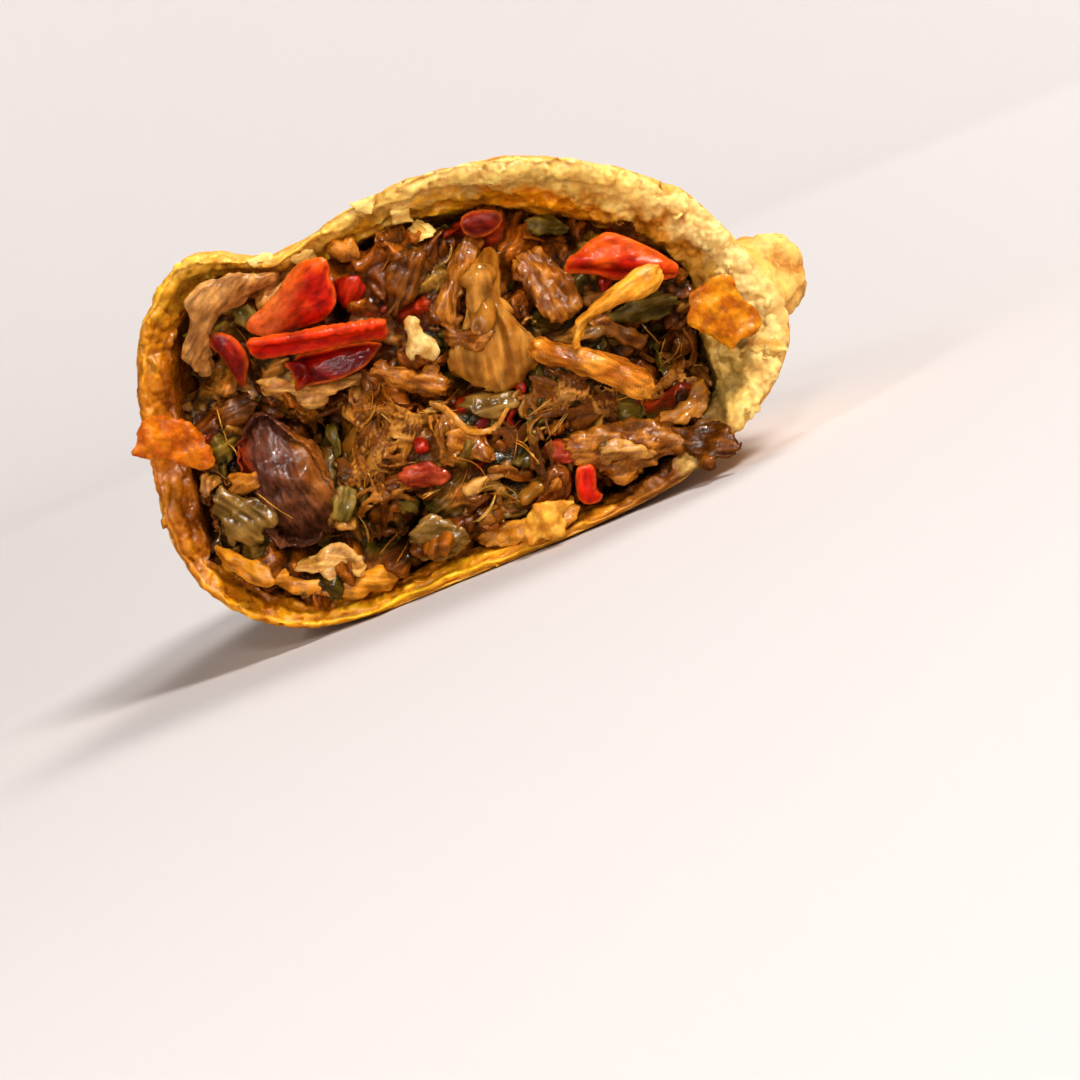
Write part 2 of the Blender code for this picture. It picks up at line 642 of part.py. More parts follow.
def make_large_pieces(collection):
    """The pieces as large as berries, each its own solid."""
    return [
        make_slice(
            "pepper_wedge", "red_pepper", 10.6, 6.8, 2.4, (-14.4, 35.6, 1.8), (8, 10, -14),
            collection, taper=-0.42, cup=1.3, wrinkle=0.3,
        ),
        make_slice(
            "pepper_strip", "red_pepper", 16.0, 2.9, 1.9, (-13.0, 31.3, 3.2), (-16, 34, 4),
            collection, taper=-0.12, curl=0.5, wrinkle=0.12, steps=5,
        ),
        make_slice(
            "pepper_slab", "dark_pepper", 11.0, 4.2, 1.8, (-11.8, 27.5, 1.4), (-12, -24, 0),
            collection, taper=-0.15, cup=0.8, wrinkle=0.3,
        ),
        make_slice(
            "pepper_drop", "dark_pepper", 7.0, 3.3, 1.8, (-22.3, 33.0, 1.0), (-95, 0, 10),
            collection, taper=0.35, cup=1.0, steps=3,
        ),
        make_slice(
            "pepper_corner", "orange_pepper", 12.2, 5.0, 2.0, (20.8, 26.4, 2.6), (-27, 14, 10),
            collection, taper=0.12, curl=0.8, cup=0.9, wrinkle=0.3,
        ),
        make_slice(
            "pepper_crown", "dark_pepper", 6.0, 3.2, 1.8, (8.8, 35.9, 1.6), (-14, 0, 0),
            collection, cup=0.8, steps=3,
        ),
        make_slice(
            "pepper_bit", "red_pepper", 4.8, 2.8, 1.7, (8.9, 5.3, 1.2), (76, 0, 0),
            collection, cup=0.4, steps=2,
        ),
        make_chunk(
            "meat_chunk", "dark_meat", (15.2, 9.4, 8.5), (-22.9, 18.6, 0.6), (-100, 0, 0), 3, collection
        ),
        make_chunk(
            "meat_chunk_low", "dark_meat", (8.4, 4.4, 5.0), (-30.0, 15.6, 0.0), (-76, 0, 0), 9, collection
        ),
        make_slice(
            "pork_baton", "shred", 15.6, 3.6, 2.4, (14.2, 18.2, 2.9), (-49, 0, 6),
            collection, taper=-0.05, curl=0.6, cup=0.7, wrinkle=0.35, steps=5,
        ),
        make_slice(
            "onion_slice", "onion", 14.0, 6.8, 2.0, (4.8, 25.4, 1.2), (-100, 0, 8),
            collection, taper=0.22, cup=1.2, wrinkle=0.5,
        ),
        make_slice(
            "crumb_flake", "pale_crumb", 6.4, 3.4, 1.3, (-2.4, 27.6, 2.1), (-116, 0, 8),
            collection, taper=0.2, wrinkle=0.5, steps=3,
        ),
        make_strip(
            "pork_curl", "pale_meat",
            (
                (-16.6, 39.4, 0.8), (-19.8, 40.2, 1.6), (-22.6, 39.8, 2.2),
                (-24.8, 37.8, 2.4), (-26.0, 35.2, 2.2), (-26.6, 32.4, 1.4),
            ),
            (0.8, 1.6, 1.7, 1.5, 1.7, 1.2), 0.55, collection,
        ),
        make_strip(
            "yellow_strip", "shred",
            ((14.8, 20.4, 5.0), (17.6, 22.0, 5.6), (21.0, 22.7, 5.9), (23.4, 23.3, 5.5), (25.4, 23.0, 4.9)),
            (0.45, 0.6, 1.0, 1.4, 1.0), 0.6, collection,
        ),
    ]


def grown(piece, collection):
    """A cutter for the piece's socket: its form before rounding, larger by the gap all round."""
    rounding = piece.modifiers.get("rounded")
    if rounding:
        rounding.show_viewport = False
    graph = bpy.context.evaluated_depsgraph_get()
    graph.update()
    mesh = bpy.data.meshes.new_from_object(piece.evaluated_get(graph))
    if rounding:
        rounding.show_viewport = True
    mesh.transform(piece.matrix_world)
    form = bmesh.new()
    form.from_mesh(mesh)
    form.normal_update()
    moves = [vertex.normal * SOCKET_GAP * MM for vertex in form.verts]
    for vertex, move in zip(form.verts, moves):
        vertex.co += move
    form.to_mesh(mesh)
    form.free()
    made = new_object(piece.name + "_socket", mesh, collection)
    made.hide_render = True
    made.display_type = "WIRE"
    return made


def centre_on_base(collection):
    """Moves the finished pieces so that the origin is at the middle of the whole, on its base."""
    graph = bpy.context.evaluated_depsgraph_get()
    graph.update()
    points = np.array(
        [
            item.matrix_world @ vertex.co
            for item in collection.objects
            for vertex in item.evaluated_get(graph).data.vertices
        ]
    )
    low, high = points.min(axis=0), points.max(axis=0)
    shift = Vector(((low[0] + high[0]) / 2, (low[1] + high[1]) / 2, low[2]))
    for item in collection.objects:
        item.location -= shift


def main():
    clear_scene()
    turnover = new_collection("al_pastor_empanada_half")
    path, radii, corners = crimp_path()
    case = make_case(turnover, corners)
    edge = new_collection("rolled_edge")
    curve_solid("crimp", path, radii, CRIMP_RADIUS, edge)
    joined(case, "UNION", edge)
    heap = make_heap(turnover)
    add_small_pieces(heap, random.Random(SEED))
    pieces = make_large_pieces(turnover)
    sockets = new_collection("sockets")
    for piece in pieces:
        grown(piece, sockets)
    joined(heap, "DIFFERENCE", sockets)
    make_crust_flakes(turnover)
    centre_on_base(turnover)


main()
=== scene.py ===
"""Looks for a broken half of a baked turnover with shredded pork and peppers.

Every length is in millimetres until it reaches Blender, where MM makes it metres. The row frame has the
broken face towards -Y, the fold at -X, the crimped edge at +X and the closed tip at +Y.
"""
import math
import random

import bmesh
import bpy
import numpy as np
from mathutils import Matrix, Vector, noise
from mathutils.bvhtree import BVHTree
from mathutils.kdtree import KDTree


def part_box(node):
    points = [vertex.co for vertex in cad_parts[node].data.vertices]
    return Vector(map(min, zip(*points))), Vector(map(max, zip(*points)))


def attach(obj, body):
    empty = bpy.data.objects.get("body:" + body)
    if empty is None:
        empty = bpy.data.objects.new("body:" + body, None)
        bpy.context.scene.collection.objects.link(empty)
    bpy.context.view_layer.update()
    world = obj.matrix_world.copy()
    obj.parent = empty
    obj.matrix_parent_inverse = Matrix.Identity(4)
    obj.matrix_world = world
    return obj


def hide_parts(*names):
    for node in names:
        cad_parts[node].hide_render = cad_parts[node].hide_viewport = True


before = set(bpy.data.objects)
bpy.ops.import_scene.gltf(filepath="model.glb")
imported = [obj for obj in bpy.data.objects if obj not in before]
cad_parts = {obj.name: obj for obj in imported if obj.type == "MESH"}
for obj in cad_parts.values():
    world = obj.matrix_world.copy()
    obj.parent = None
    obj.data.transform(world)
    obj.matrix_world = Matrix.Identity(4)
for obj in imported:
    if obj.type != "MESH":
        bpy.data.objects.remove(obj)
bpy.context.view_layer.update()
MM = 0.001
scene = bpy.context.scene


# Table, light and camera
# The half lies on its flat base on a pale table whose edge sweeps up on all sides, so that no horizon shows.
# A soft window of light above and to the right models the face; the camera is turned about its own axis,
# because in the photograph the half leans on another one.
SWEEP_FLAT = 700.0
SWEEP_RISE = (450.0, 430.0)
SWEEP_STEPS = 20
SWEEP_SIDES = 96
TABLE_COLOUR = (0.635, 0.594, 0.584, 1.0)
GLOW_CENTRE = (0.0, -260.0, 0.0)
WALL_GLOW = (300.0, 850.0, 0.33)
MIRRORED_ROOM = 0.2
VIEW_AZIMUTH = math.radians(8.0)
VIEW_ELEVATION = math.radians(7.0)
VIEW_ROLL = math.radians(22.97)
VIEW_LENS = 85.0
VIEW_SENSOR = 36.0
VIEW_WIDTH = 122.6
VIEW_AIM = (-0.07, -28.59, 1.11)
WORLD_STRENGTH = 0.06
LAMPS = {
    # lamp: place, width, watts and colour
    "key": ((672.0, -528.0, 832.0), 256.0, 10.4, (1.0, 0.98, 0.95)),
    "top": ((520.0, 420.0, 960.0), 380.0, 6.4, (1.0, 0.98, 0.95)),
    "fill": ((-672.0, -896.0, 480.0), 448.0, 1.7, (1.0, 0.99, 0.985)),
    "glint": ((144.0, -992.0, 528.0), 128.0, 2.5, (1.0, 0.99, 0.97)),
    "glint_left": ((-480.0, -832.0, 672.0), 112.0, 1.5, (1.0, 0.99, 0.97)),
}
LAMP_AIM = (0.0, 0.0, 20.0)


def node(tree, kind, inputs=None, **settings):
    """Adds a node, gives it its settings, and fills or links its inputs."""
    made = tree.nodes.new(kind)
    for name, value in settings.items():
        setattr(made, name, value)
    for key, value in (inputs or {}).items():
        if isinstance(value, bpy.types.NodeSocket):
            tree.links.new(value, made.inputs[key])
        else:
            made.inputs[key].default_value = value
    return made


def maths(tree, operation, *values):
    """An operation on numbers."""
    return node(tree, "ShaderNodeMath", dict(enumerate(values)), operation=operation).outputs["Value"]


def scaled(tree, vector, by):
    """A vector or a colour made longer or brighter."""
    return node(tree, "ShaderNodeVectorMath", {0: vector, "Scale": by}, operation="SCALE").outputs["Vector"]


def remapped(tree, value, low, high, to_low=0.0, to_high=1.0, kind="LINEAR"):
    """A value between low and high turned into one between to_low and to_high, and held there."""
    ends = {"Value": value, "From Min": low, "From Max": high, "To Min": to_low, "To Max": to_high}
    return node(tree, "ShaderNodeMapRange", ends, interpolation_type=kind).outputs["Result"]


def table_material():
    """A pale matt top that glows softly towards its far edge, and is dimmer in what the wet food mirrors."""
    material = bpy.data.materials.new("pale_table")
    material.use_nodes = True
    tree = material.node_tree
    place = node(tree, "ShaderNodeTexCoord").outputs["Object"]
    centre = tuple(c * MM for c in GLOW_CENTRE)
    reach = node(tree, "ShaderNodeVectorMath", {0: place, 1: centre}, operation="DISTANCE").outputs["Value"]
    glow = remapped(tree, reach, WALL_GLOW[0] * MM, WALL_GLOW[1] * MM, to_high=WALL_GLOW[2])
    mirrored = node(tree, "ShaderNodeLightPath").outputs["Is Glossy Ray"]
    dim = remapped(tree, mirrored, 0.0, 1.0, 1.0, MIRRORED_ROOM)
    surface = tree.nodes["Principled BSDF"]
    surface.inputs["Roughness"].default_value = 0.75
    surface.inputs["Specular IOR Level"].default_value = 0.2
    surface.inputs["Emission Color"].default_value = TABLE_COLOUR
    tree.links.new(scaled(tree, TABLE_COLOUR[:3], dim), surface.inputs["Base Color"])
    tree.links.new(maths(tree, "MULTIPLY", glow, dim), surface.inputs["Emission Strength"])
    return material


def make_table():
    """The table top, a flat disc that curves up into a wall all round."""
    profile = [(0.0, 0.0), (SWEEP_FLAT, 0.0)]
    for step in range(1, SWEEP_STEPS + 1):
        turn = math.pi / 2 * step / SWEEP_STEPS
        out = SWEEP_FLAT + SWEEP_RISE[0] * math.sin(turn)
        profile.append((out, SWEEP_RISE[1] * (1 - math.cos(turn))))
    shape = bmesh.new()
    edge = [shape.verts.new((r * MM, 0, z * MM)) for r, z in profile]
    lines = [shape.edges.new(pair) for pair in zip(edge, edge[1:])]
    bmesh.ops.spin(shape, geom=edge + lines, axis=(0, 0, 1), angle=2 * math.pi, steps=SWEEP_SIDES)
    bmesh.ops.remove_doubles(shape, verts=shape.verts, dist=1e-5)
    mesh = bpy.data.meshes.new("table")
    shape.to_mesh(mesh)
    shape.free()
    mesh.polygons.foreach_set("use_smooth", [True] * len(mesh.polygons))
    mesh.materials.append(table_material())
    table = bpy.data.objects.new("table", mesh)
    scene.collection.objects.link(table)


def make_lamp(name, lamp):
    """A square soft light that faces the middle of the food."""
    place, width, watts, colour = lamp
    light = bpy.data.lights.new(name, "AREA")
    light.size = width * MM
    light.energy = watts
    light.color = colour
    placed = bpy.data.objects.new(name, light)
    placed.location = Vector(place) * MM
    towards = Vector(LAMP_AIM) * MM - placed.location
    placed.rotation_euler = towards.to_track_quat("-Z", "Y").to_euler()
    scene.collection.objects.link(placed)


def make_camera():
    """The photograph's own view, level with the broken face and rolled as the photograph leans."""
    back = Vector((math.sin(VIEW_AZIMUTH) * math.cos(VIEW_ELEVATION),
                   -math.cos(VIEW_AZIMUTH) * math.cos(VIEW_ELEVATION), math.sin(VIEW_ELEVATION)))
    level = Vector((math.cos(VIEW_AZIMUTH), math.sin(VIEW_AZIMUTH), 0))
    upright = back.cross(level)
    right = level * math.cos(VIEW_ROLL) - upright * math.sin(VIEW_ROLL)
    up = level * math.sin(VIEW_ROLL) + upright * math.cos(VIEW_ROLL)
    data = bpy.data.cameras.new("camera")
    data.lens = VIEW_LENS
    data.sensor_width = VIEW_SENSOR
    data.clip_start = 0.01
    camera = bpy.data.objects.new("camera", data)
    camera.location = (Vector(VIEW_AIM) + back * VIEW_WIDTH * VIEW_LENS / VIEW_SENSOR) * MM
    camera.rotation_euler = Matrix((right, up, back)).transposed().to_euler()
    scene.collection.objects.link(camera)
    scene.camera = camera


make_table()
make_camera()
for lamp_name, lamp in LAMPS.items():
    make_lamp(lamp_name, lamp)
world = bpy.data.worlds.new("room")
world.use_nodes = True
world.node_tree.nodes["Background"].inputs["Color"].default_value = (1.0, 0.985, 0.975, 1.0)
world.node_tree.nodes["Background"].inputs["Strength"].default_value = WORLD_STRENGTH
scene.world = world
scene.view_settings.view_transform = "Standard"
scene.view_settings.look = "Medium High Contrast"


# Baked crust
# The case is one sheet of lard dough, folded over the filling, crimped and baked until the outside blisters.
# Inside it stays soft and oily. The break tears it, into pale crumb on the right and crumb soaked with orange
# oil on the left, where its layers part.
CRUST_VOXEL = 0.8
CRUST_SMOOTHING = 3
TEAR_Y = (-22.0, -24.0)
MOUTH_CENTRE = (-5.0, 20.0)
MOUTH_BACK_Y = 8.0
SECTION_Y = -23.5
BASE_BLEND = (0.4, 3.5)
SHEETS = 3.2
HONEYCOMB = 1.15
SKIN_COLOURS = ((0.76, 0.340, 0.030), (0.60, 0.210, 0.012), (0.86, 0.50, 0.10))
# The crimp's dark and light colours: painted shade in the creases between its lumps and painted light on
# their tops.
EAR_SHADED_AND_LIT_COLOURS = ((0.52, 0.190, 0.016), (0.84, 0.500, 0.120))
LINING_DRYNESS = 0.26
SKIN_DRYNESS = 0.6
BEADS_PER_METRE = 1250.0
BEADS_LEFT_OUT = 0.42
BEAD_HEIGHT = 0.000032
BEAD_REACH = 0.36
FAT_IOR = 1.9
FAT_ROUGHNESS = 0.06
BLISTER_COLOUR = (0.92, 0.58, 0.14, 1)
LIGHT_FLECK_COLOUR = (0.96, 0.66, 0.20, 1)
# Painted shade for the inside of the pores.
PORE_SHADE_COLOUR = (0.10, 0.04, 0.012, 1)
RIM_ZONES = (
    # angle round the mouth in degrees, colour by the skin, colour by the filling, crumb size, roughness,
    # how far the tear slopes back towards the filling, in mm, and how far its layers part, in mm
    (-180, (0.46, 0.15, 0.004), (0.36, 0.105, 0.004), 0.45, 0.28, 1.4, 0.50),
    (-172, (0.50, 0.17, 0.005), (0.42, 0.130, 0.006), 0.35, 0.25, 1.6, 0.60),
    (-150, (0.88, 0.36, 0.012), (0.78, 0.290, 0.009), 0.30, 0.20, 2.0, 1.00),
    (-123, (0.96, 0.45, 0.018), (0.84, 0.320, 0.011), 0.35, 0.20, 2.2, 1.20),
    (-84, (0.92, 0.40, 0.015), (0.76, 0.280, 0.012), 0.45, 0.24, 2.0, 1.20),
    (-55, (0.66, 0.26, 0.016), (0.42, 0.145, 0.008), 0.60, 0.35, 2.4, 0.90),
    (-35, (0.20, 0.06, 0.008), (0.12, 0.035, 0.006), 0.90, 0.40, 1.6, 0.40),
    (-24, (0.76, 0.48, 0.130), (0.34, 0.210, 0.050), 0.80, 0.50, 3.0, 0.00),
    (-10, (0.84, 0.58, 0.200), (0.46, 0.270, 0.045), 1.00, 0.60, 3.0, 0.00),
    (10, (0.86, 0.60, 0.220), (0.70, 0.320, 0.020), 1.00, 0.60, 3.0, 0.00),
    (25, (0.84, 0.54, 0.140), (0.70, 0.270, 0.006), 0.90, 0.50, 4.0, 0.20),
    (40, (0.84, 0.55, 0.140), (0.92, 0.330, 0.003), 0.50, 0.30, 4.4, 0.40),
    (56, (0.88, 0.60, 0.180), (0.95, 0.400, 0.008), 0.30, 0.28, 4.0, 0.60),
    (76, (0.86, 0.56, 0.150), (0.96, 0.480, 0.030), 0.25, 0.28, 3.4, 0.60),
    (98, (0.78, 0.48, 0.090), (0.96, 0.510, 0.028), 0.30, 0.28, 3.2, 0.50),
    (114, (0.78, 0.46, 0.070), (0.92, 0.450, 0.020), 0.35, 0.30, 3.4, 0.60),
    (130, (0.82, 0.44, 0.040), (0.62, 0.250, 0.008), 0.35, 0.28, 3.0, 0.50),
    (145, (0.62, 0.24, 0.005), (0.46, 0.140, 0.003), 0.50, 0.30, 1.2, 0.35),
    (166, (0.56, 0.18, 0.004), (0.36, 0.100, 0.003), 0.45, 0.30, 1.2, 0.35),
    (180, (0.46, 0.15, 0.004), (0.36, 0.105, 0.004), 0.45, 0.28, 1.4, 0.50),
)


def merged_copy(name):
    """A CAD node's own shape as one closed shape, in millimetres."""
    shape = bmesh.new()
    shape.from_mesh(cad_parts[name].data)
    bmesh.ops.remove_doubles(shape, verts=shape.verts, dist=1e-6)
    bmesh.ops.scale(shape, vec=(1 / MM,) * 3, verts=shape.verts)
    return shape


def shaped_mesh(shape, modifiers):
    """The mesh that a shape becomes under a list of (modifier kind, settings)."""
    mesh = bpy.data.meshes.new("rough")
    shape.to_mesh(mesh)
    holder = bpy.data.objects.new("rough", mesh)
    scene.collection.objects.link(holder)
    for kind, settings in modifiers:
        modifier = holder.modifiers.new(kind, kind)
        for name, value in settings.items():
            setattr(modifier, name, value)
    graph = bpy.context.evaluated_depsgraph_get()
    made = bpy.data.meshes.new_from_object(holder.evaluated_get(graph))
    bpy.data.objects.remove(holder)
    bpy.data.meshes.remove(mesh)
    return made


def refined(mesh, wanted):
    """Splits in four each face of a mesh that is wanted, by its middle and its normal."""
    shape = bmesh.new()
    shape.from_mesh(mesh)
    shape.normal_update()
    chosen = [f for f in shape.faces if wanted(f.calc_center_median(), f.normal)]
    edges = list({e for f in chosen for e in f.edges})
    bmesh.ops.subdivide_edges(shape, edges=edges, cuts=1, use_grid_fill=True, smooth=0.0)
    bmesh.ops.triangulate(shape, faces=[f for f in shape.faces if len(f.verts) > 4])
    shape.to_mesh(mesh)
    shape.free()


def points_of(mesh, kind="co"):
    flat = np.empty(len(mesh.vertices) * 3)
    mesh.vertices.foreach_get(kind, flat)
    return flat.reshape(-1, 3)


def normals_of(mesh):
    return points_of(mesh, "normal")


def set_points(mesh, points):
    mesh.vertices.foreach_set("co", points.ravel())
    mesh.update()


def ramp(values, low, high):
    """0 below low, 1 above high, and a smooth rise between."""
    t = np.clip((values - low) / (high - low), 0.0, 1.0)
    return t * t * (3 - 2 * t)


def waves(points, size, seed, octaves=2, stretch=(1, 1, 1)):
    """Noise from about -1 to 1 at each point, with features of the given size."""
    spots = (points / (np.array(stretch) * size) + seed * np.array((13.7, 7.3, 3.1))).tolist()
    if octaves == 1:
        return np.array([noise.noise(spot) for spot in spots])
    return np.array([noise.fractal(spot, 1.0, 2.0, octaves) for spot in spots])


def cells(points, size, seed):
    """Distance to the nearest of points spread at random, in cell sizes."""
    spots = (points / size + seed * np.array((5.1, 9.7, 2.3))).tolist()
    return np.array([noise.voronoi(spot)[0][0] for spot in spots])


def mouth_angle(points):
    """Angle round the mouth, in degrees: 0 at the crimp, 90 at the top, 180 at the fold."""
    return np.degrees(np.arctan2(points[:, 2] - MOUTH_CENTRE[1], points[:, 0] - MOUTH_CENTRE[0]))


def wall_share(points, tree):
    """0 on the lining, 1 on the outer skin, and in between on the torn wall."""
    found = np.zeros(len(points))
    beyond = 120.0
    for index, (x, y, z) in enumerate(points):
        level = min(max(y, SECTION_Y), MOUTH_BACK_Y)
        centre = Vector((MOUTH_CENTRE[0], level, MOUTH_CENTRE[1]))
        spot = Vector((x, max(y, SECTION_Y), z))
        ray = spot - centre
        reach = ray.length
        ray.normalize()
        first = tree.ray_cast(centre, ray)[3] or reach
        last = tree.ray_cast(centre + ray * beyond, -ray)[3]
        outer = beyond - last if last else reach
        found[index] = (reach - first) / max(outer - first, 0.5)
    return np.clip(found, 0.0, 1.0)


def zone_values(angles):
    """What RIM_ZONES says at each angle round the mouth: two colours and four numbers."""
    marks = [zone[0] for zone in RIM_ZONES]

    def blend(values):
        return np.interp(angles, marks, values)

    outer, inner = (np.stack([blend([zone[side][k] for zone in RIM_ZONES]) for k in range(3)], 1)
                    for side in (1, 2))
    return outer, inner, *(blend([zone[column] for zone in RIM_ZONES]) for column in (3, 4, 5, 6))


def store(mesh, name, values):
    """Keeps one number or one colour for each point of a mesh."""
    if values.ndim == 1:
        mesh.attributes.new(name, "FLOAT", "POINT").data.foreach_set("value", values.astype(np.float32))
    else:
        padded = np.column_stack([values, np.ones(len(values))]).astype(np.float32)
        mesh.attributes.new(name, "FLOAT_COLOR", "POINT").data.foreach_set("color", padded.ravel())


def mixed(a, b, share):
    """Blends two colours, or two sets of them, point by point."""
    share = np.asarray(share)[:, None]
    return np.asarray(a) * (1 - share) + np.asarray(b) * share


def finished(mesh, name, nodes=(), materials=()):
    """Puts a mesh in the scene as a piece of the food, in metres."""
    mesh.transform(Matrix.Scale(MM, 4))
    mesh.name = name
    mesh.materials.clear()
    for material in materials:
        mesh.materials.append(material)
    mesh.polygons.foreach_set("use_smooth", [True] * len(mesh.polygons))
    piece = bpy.data.objects.new(name, mesh)
    scene.collection.objects.link(piece)
    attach(piece, "root")
    if nodes:
        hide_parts(*nodes)
    return piece


def noise_on(tree, place, scale, detail, roughness=0.5, distortion=0.0):
    """Noise from 0 to 1 over a surface."""
    given = {"Vector": place, "Scale": scale, "Detail": detail, "Roughness": roughness}
    return node(tree, "ShaderNodeTexNoise", {**given, "Distortion": distortion}).outputs["Fac"]


def bumped(tree, strength, distance, height, **normal):
    """The normal that a height gives."""
    given = {"Strength": strength, "Distance": distance, "Height": height, **normal}
    return node(tree, "ShaderNodeBump", given).outputs["Normal"]


def colour_mix(tree, share, first, second):
    """One colour turned into another by a share."""
    given = {"Factor": share, "A": first, "B": second}
    return node(tree, "ShaderNodeMix", given, data_type="RGBA").outputs["Result"]


def beads_of_fat(tree, place, per_metre, height, normal):
    """Flat drops spread at random: how far a point is up its drop, and the normal that they give."""
    spots = node(tree, "ShaderNodeTexVoronoi", {"Vector": place, "Scale": per_metre})
    dome = remapped(tree, spots.outputs["Distance"], 0.0, BEAD_REACH, 1.0, 0.0, "SMOOTHSTEP")
    some = maths(tree, "GREATER_THAN", spots.outputs["Color"], BEADS_LEFT_OUT)
    drop = maths(tree, "MULTIPLY", dome, some)
    return drop, bumped(tree, 1.0, height, drop, Normal=normal)


def crust_material():
    """Baked dough: the points' own colour, mottled, with fine blisters and with pores painted dark as painted
    shade, and oiled where soaked.
    """
    material = bpy.data.materials.new("baked_dough")
    material.use_nodes = True
    tree = material.node_tree
    surface = tree.nodes["Principled BSDF"]
    place = node(tree, "ShaderNodeTexCoord").outputs["Object"]
    tone = node(tree, "ShaderNodeAttribute", attribute_name="tone").outputs["Color"]
    skin, wet, oil = (node(tree, "ShaderNodeAttribute", attribute_name=name).outputs["Fac"]
                      for name in ("skin", "dryness", "oil"))
    fleck = noise_on(tree, place, 900.0, 5.0, 0.65)
    patch = noise_on(tree, place, 260.0, 6.0, 0.6)
    flake = noise_on(tree, place, 620.0, 3.0, distortion=1.2)

    blister = maths(tree, "MULTIPLY", maths(tree, "MULTIPLY", remapped(tree, patch, 0.52, 0.66), skin), 0.55)
    colour = colour_mix(tree, blister, tone, BLISTER_COLOUR)
    flake = maths(tree, "MULTIPLY", remapped(tree, flake, 0.58, 0.68, to_high=0.6), skin)
    colour = colour_mix(tree, flake, colour, LIGHT_FLECK_COLOUR)
    colour = scaled(tree, colour, remapped(tree, fleck, 0.3, 0.7, 0.72, 1.22))
    # Pores are shallow dents in the bump, painted dark as painted shade inside each hole.
    pore = node(tree, "ShaderNodeTexVoronoi", {"Vector": place, "Scale": 420.0, "Randomness": 1.0})
    some = maths(tree, "GREATER_THAN", pore.outputs["Color"], 0.62)
    shaded_pore = maths(tree, "MULTIPLY", remapped(tree, pore.outputs["Distance"], 0.06, 0.12, 1.0, 0.0), some)
    shaded_pore = maths(tree, "MULTIPLY", shaded_pore, skin)
    tree.links.new(colour_mix(tree, shaded_pore, colour, PORE_SHADE_COLOUR), surface.inputs["Base Color"])

    rough = maths(tree, "ADD", remapped(tree, fleck, 0.3, 0.7, -0.08, 0.08), wet)
    tree.links.new(rough, surface.inputs["Roughness"])
    height = maths(tree, "SUBTRACT", maths(tree, "ADD", fleck, patch), shaded_pore)
    bump = bumped(tree, 0.55, 0.0004, height)
    tree.links.new(bump, surface.inputs["Normal"])
    drop, raised = beads_of_fat(tree, place, BEADS_PER_METRE, BEAD_HEIGHT, bump)
    film = maths(tree, "MULTIPLY", remapped(tree, drop, 0.0, 0.3, 0.12), oil)
    tree.links.new(film, surface.inputs["Coat Weight"])
    tree.links.new(raised, surface.inputs["Coat Normal"])
    surface.inputs["Coat Roughness"].default_value = FAT_ROUGHNESS
    surface.inputs["Coat IOR"].default_value = FAT_IOR
    surface.inputs["Subsurface Weight"].default_value = 0.22
    surface.inputs["Subsurface Scale"].default_value = 0.0022
    surface.inputs["Subsurface Radius"].default_value = (1.0, 0.5, 0.2)
    surface.inputs["Specular IOR Level"].default_value = 0.5
    return material


def knobs(points, size, seed):
    """Round lumps with sharp creases between them, from 0 in a crease to 1 on top."""
    bent = np.column_stack([waves(points, size * 1.3, seed + k, 1) for k in range(3)])
    near = cells(points + 0.35 * size * bent, size, seed)
    return np.clip(1.15 - 1.6 * near ** 2, 0.0, 1.0)


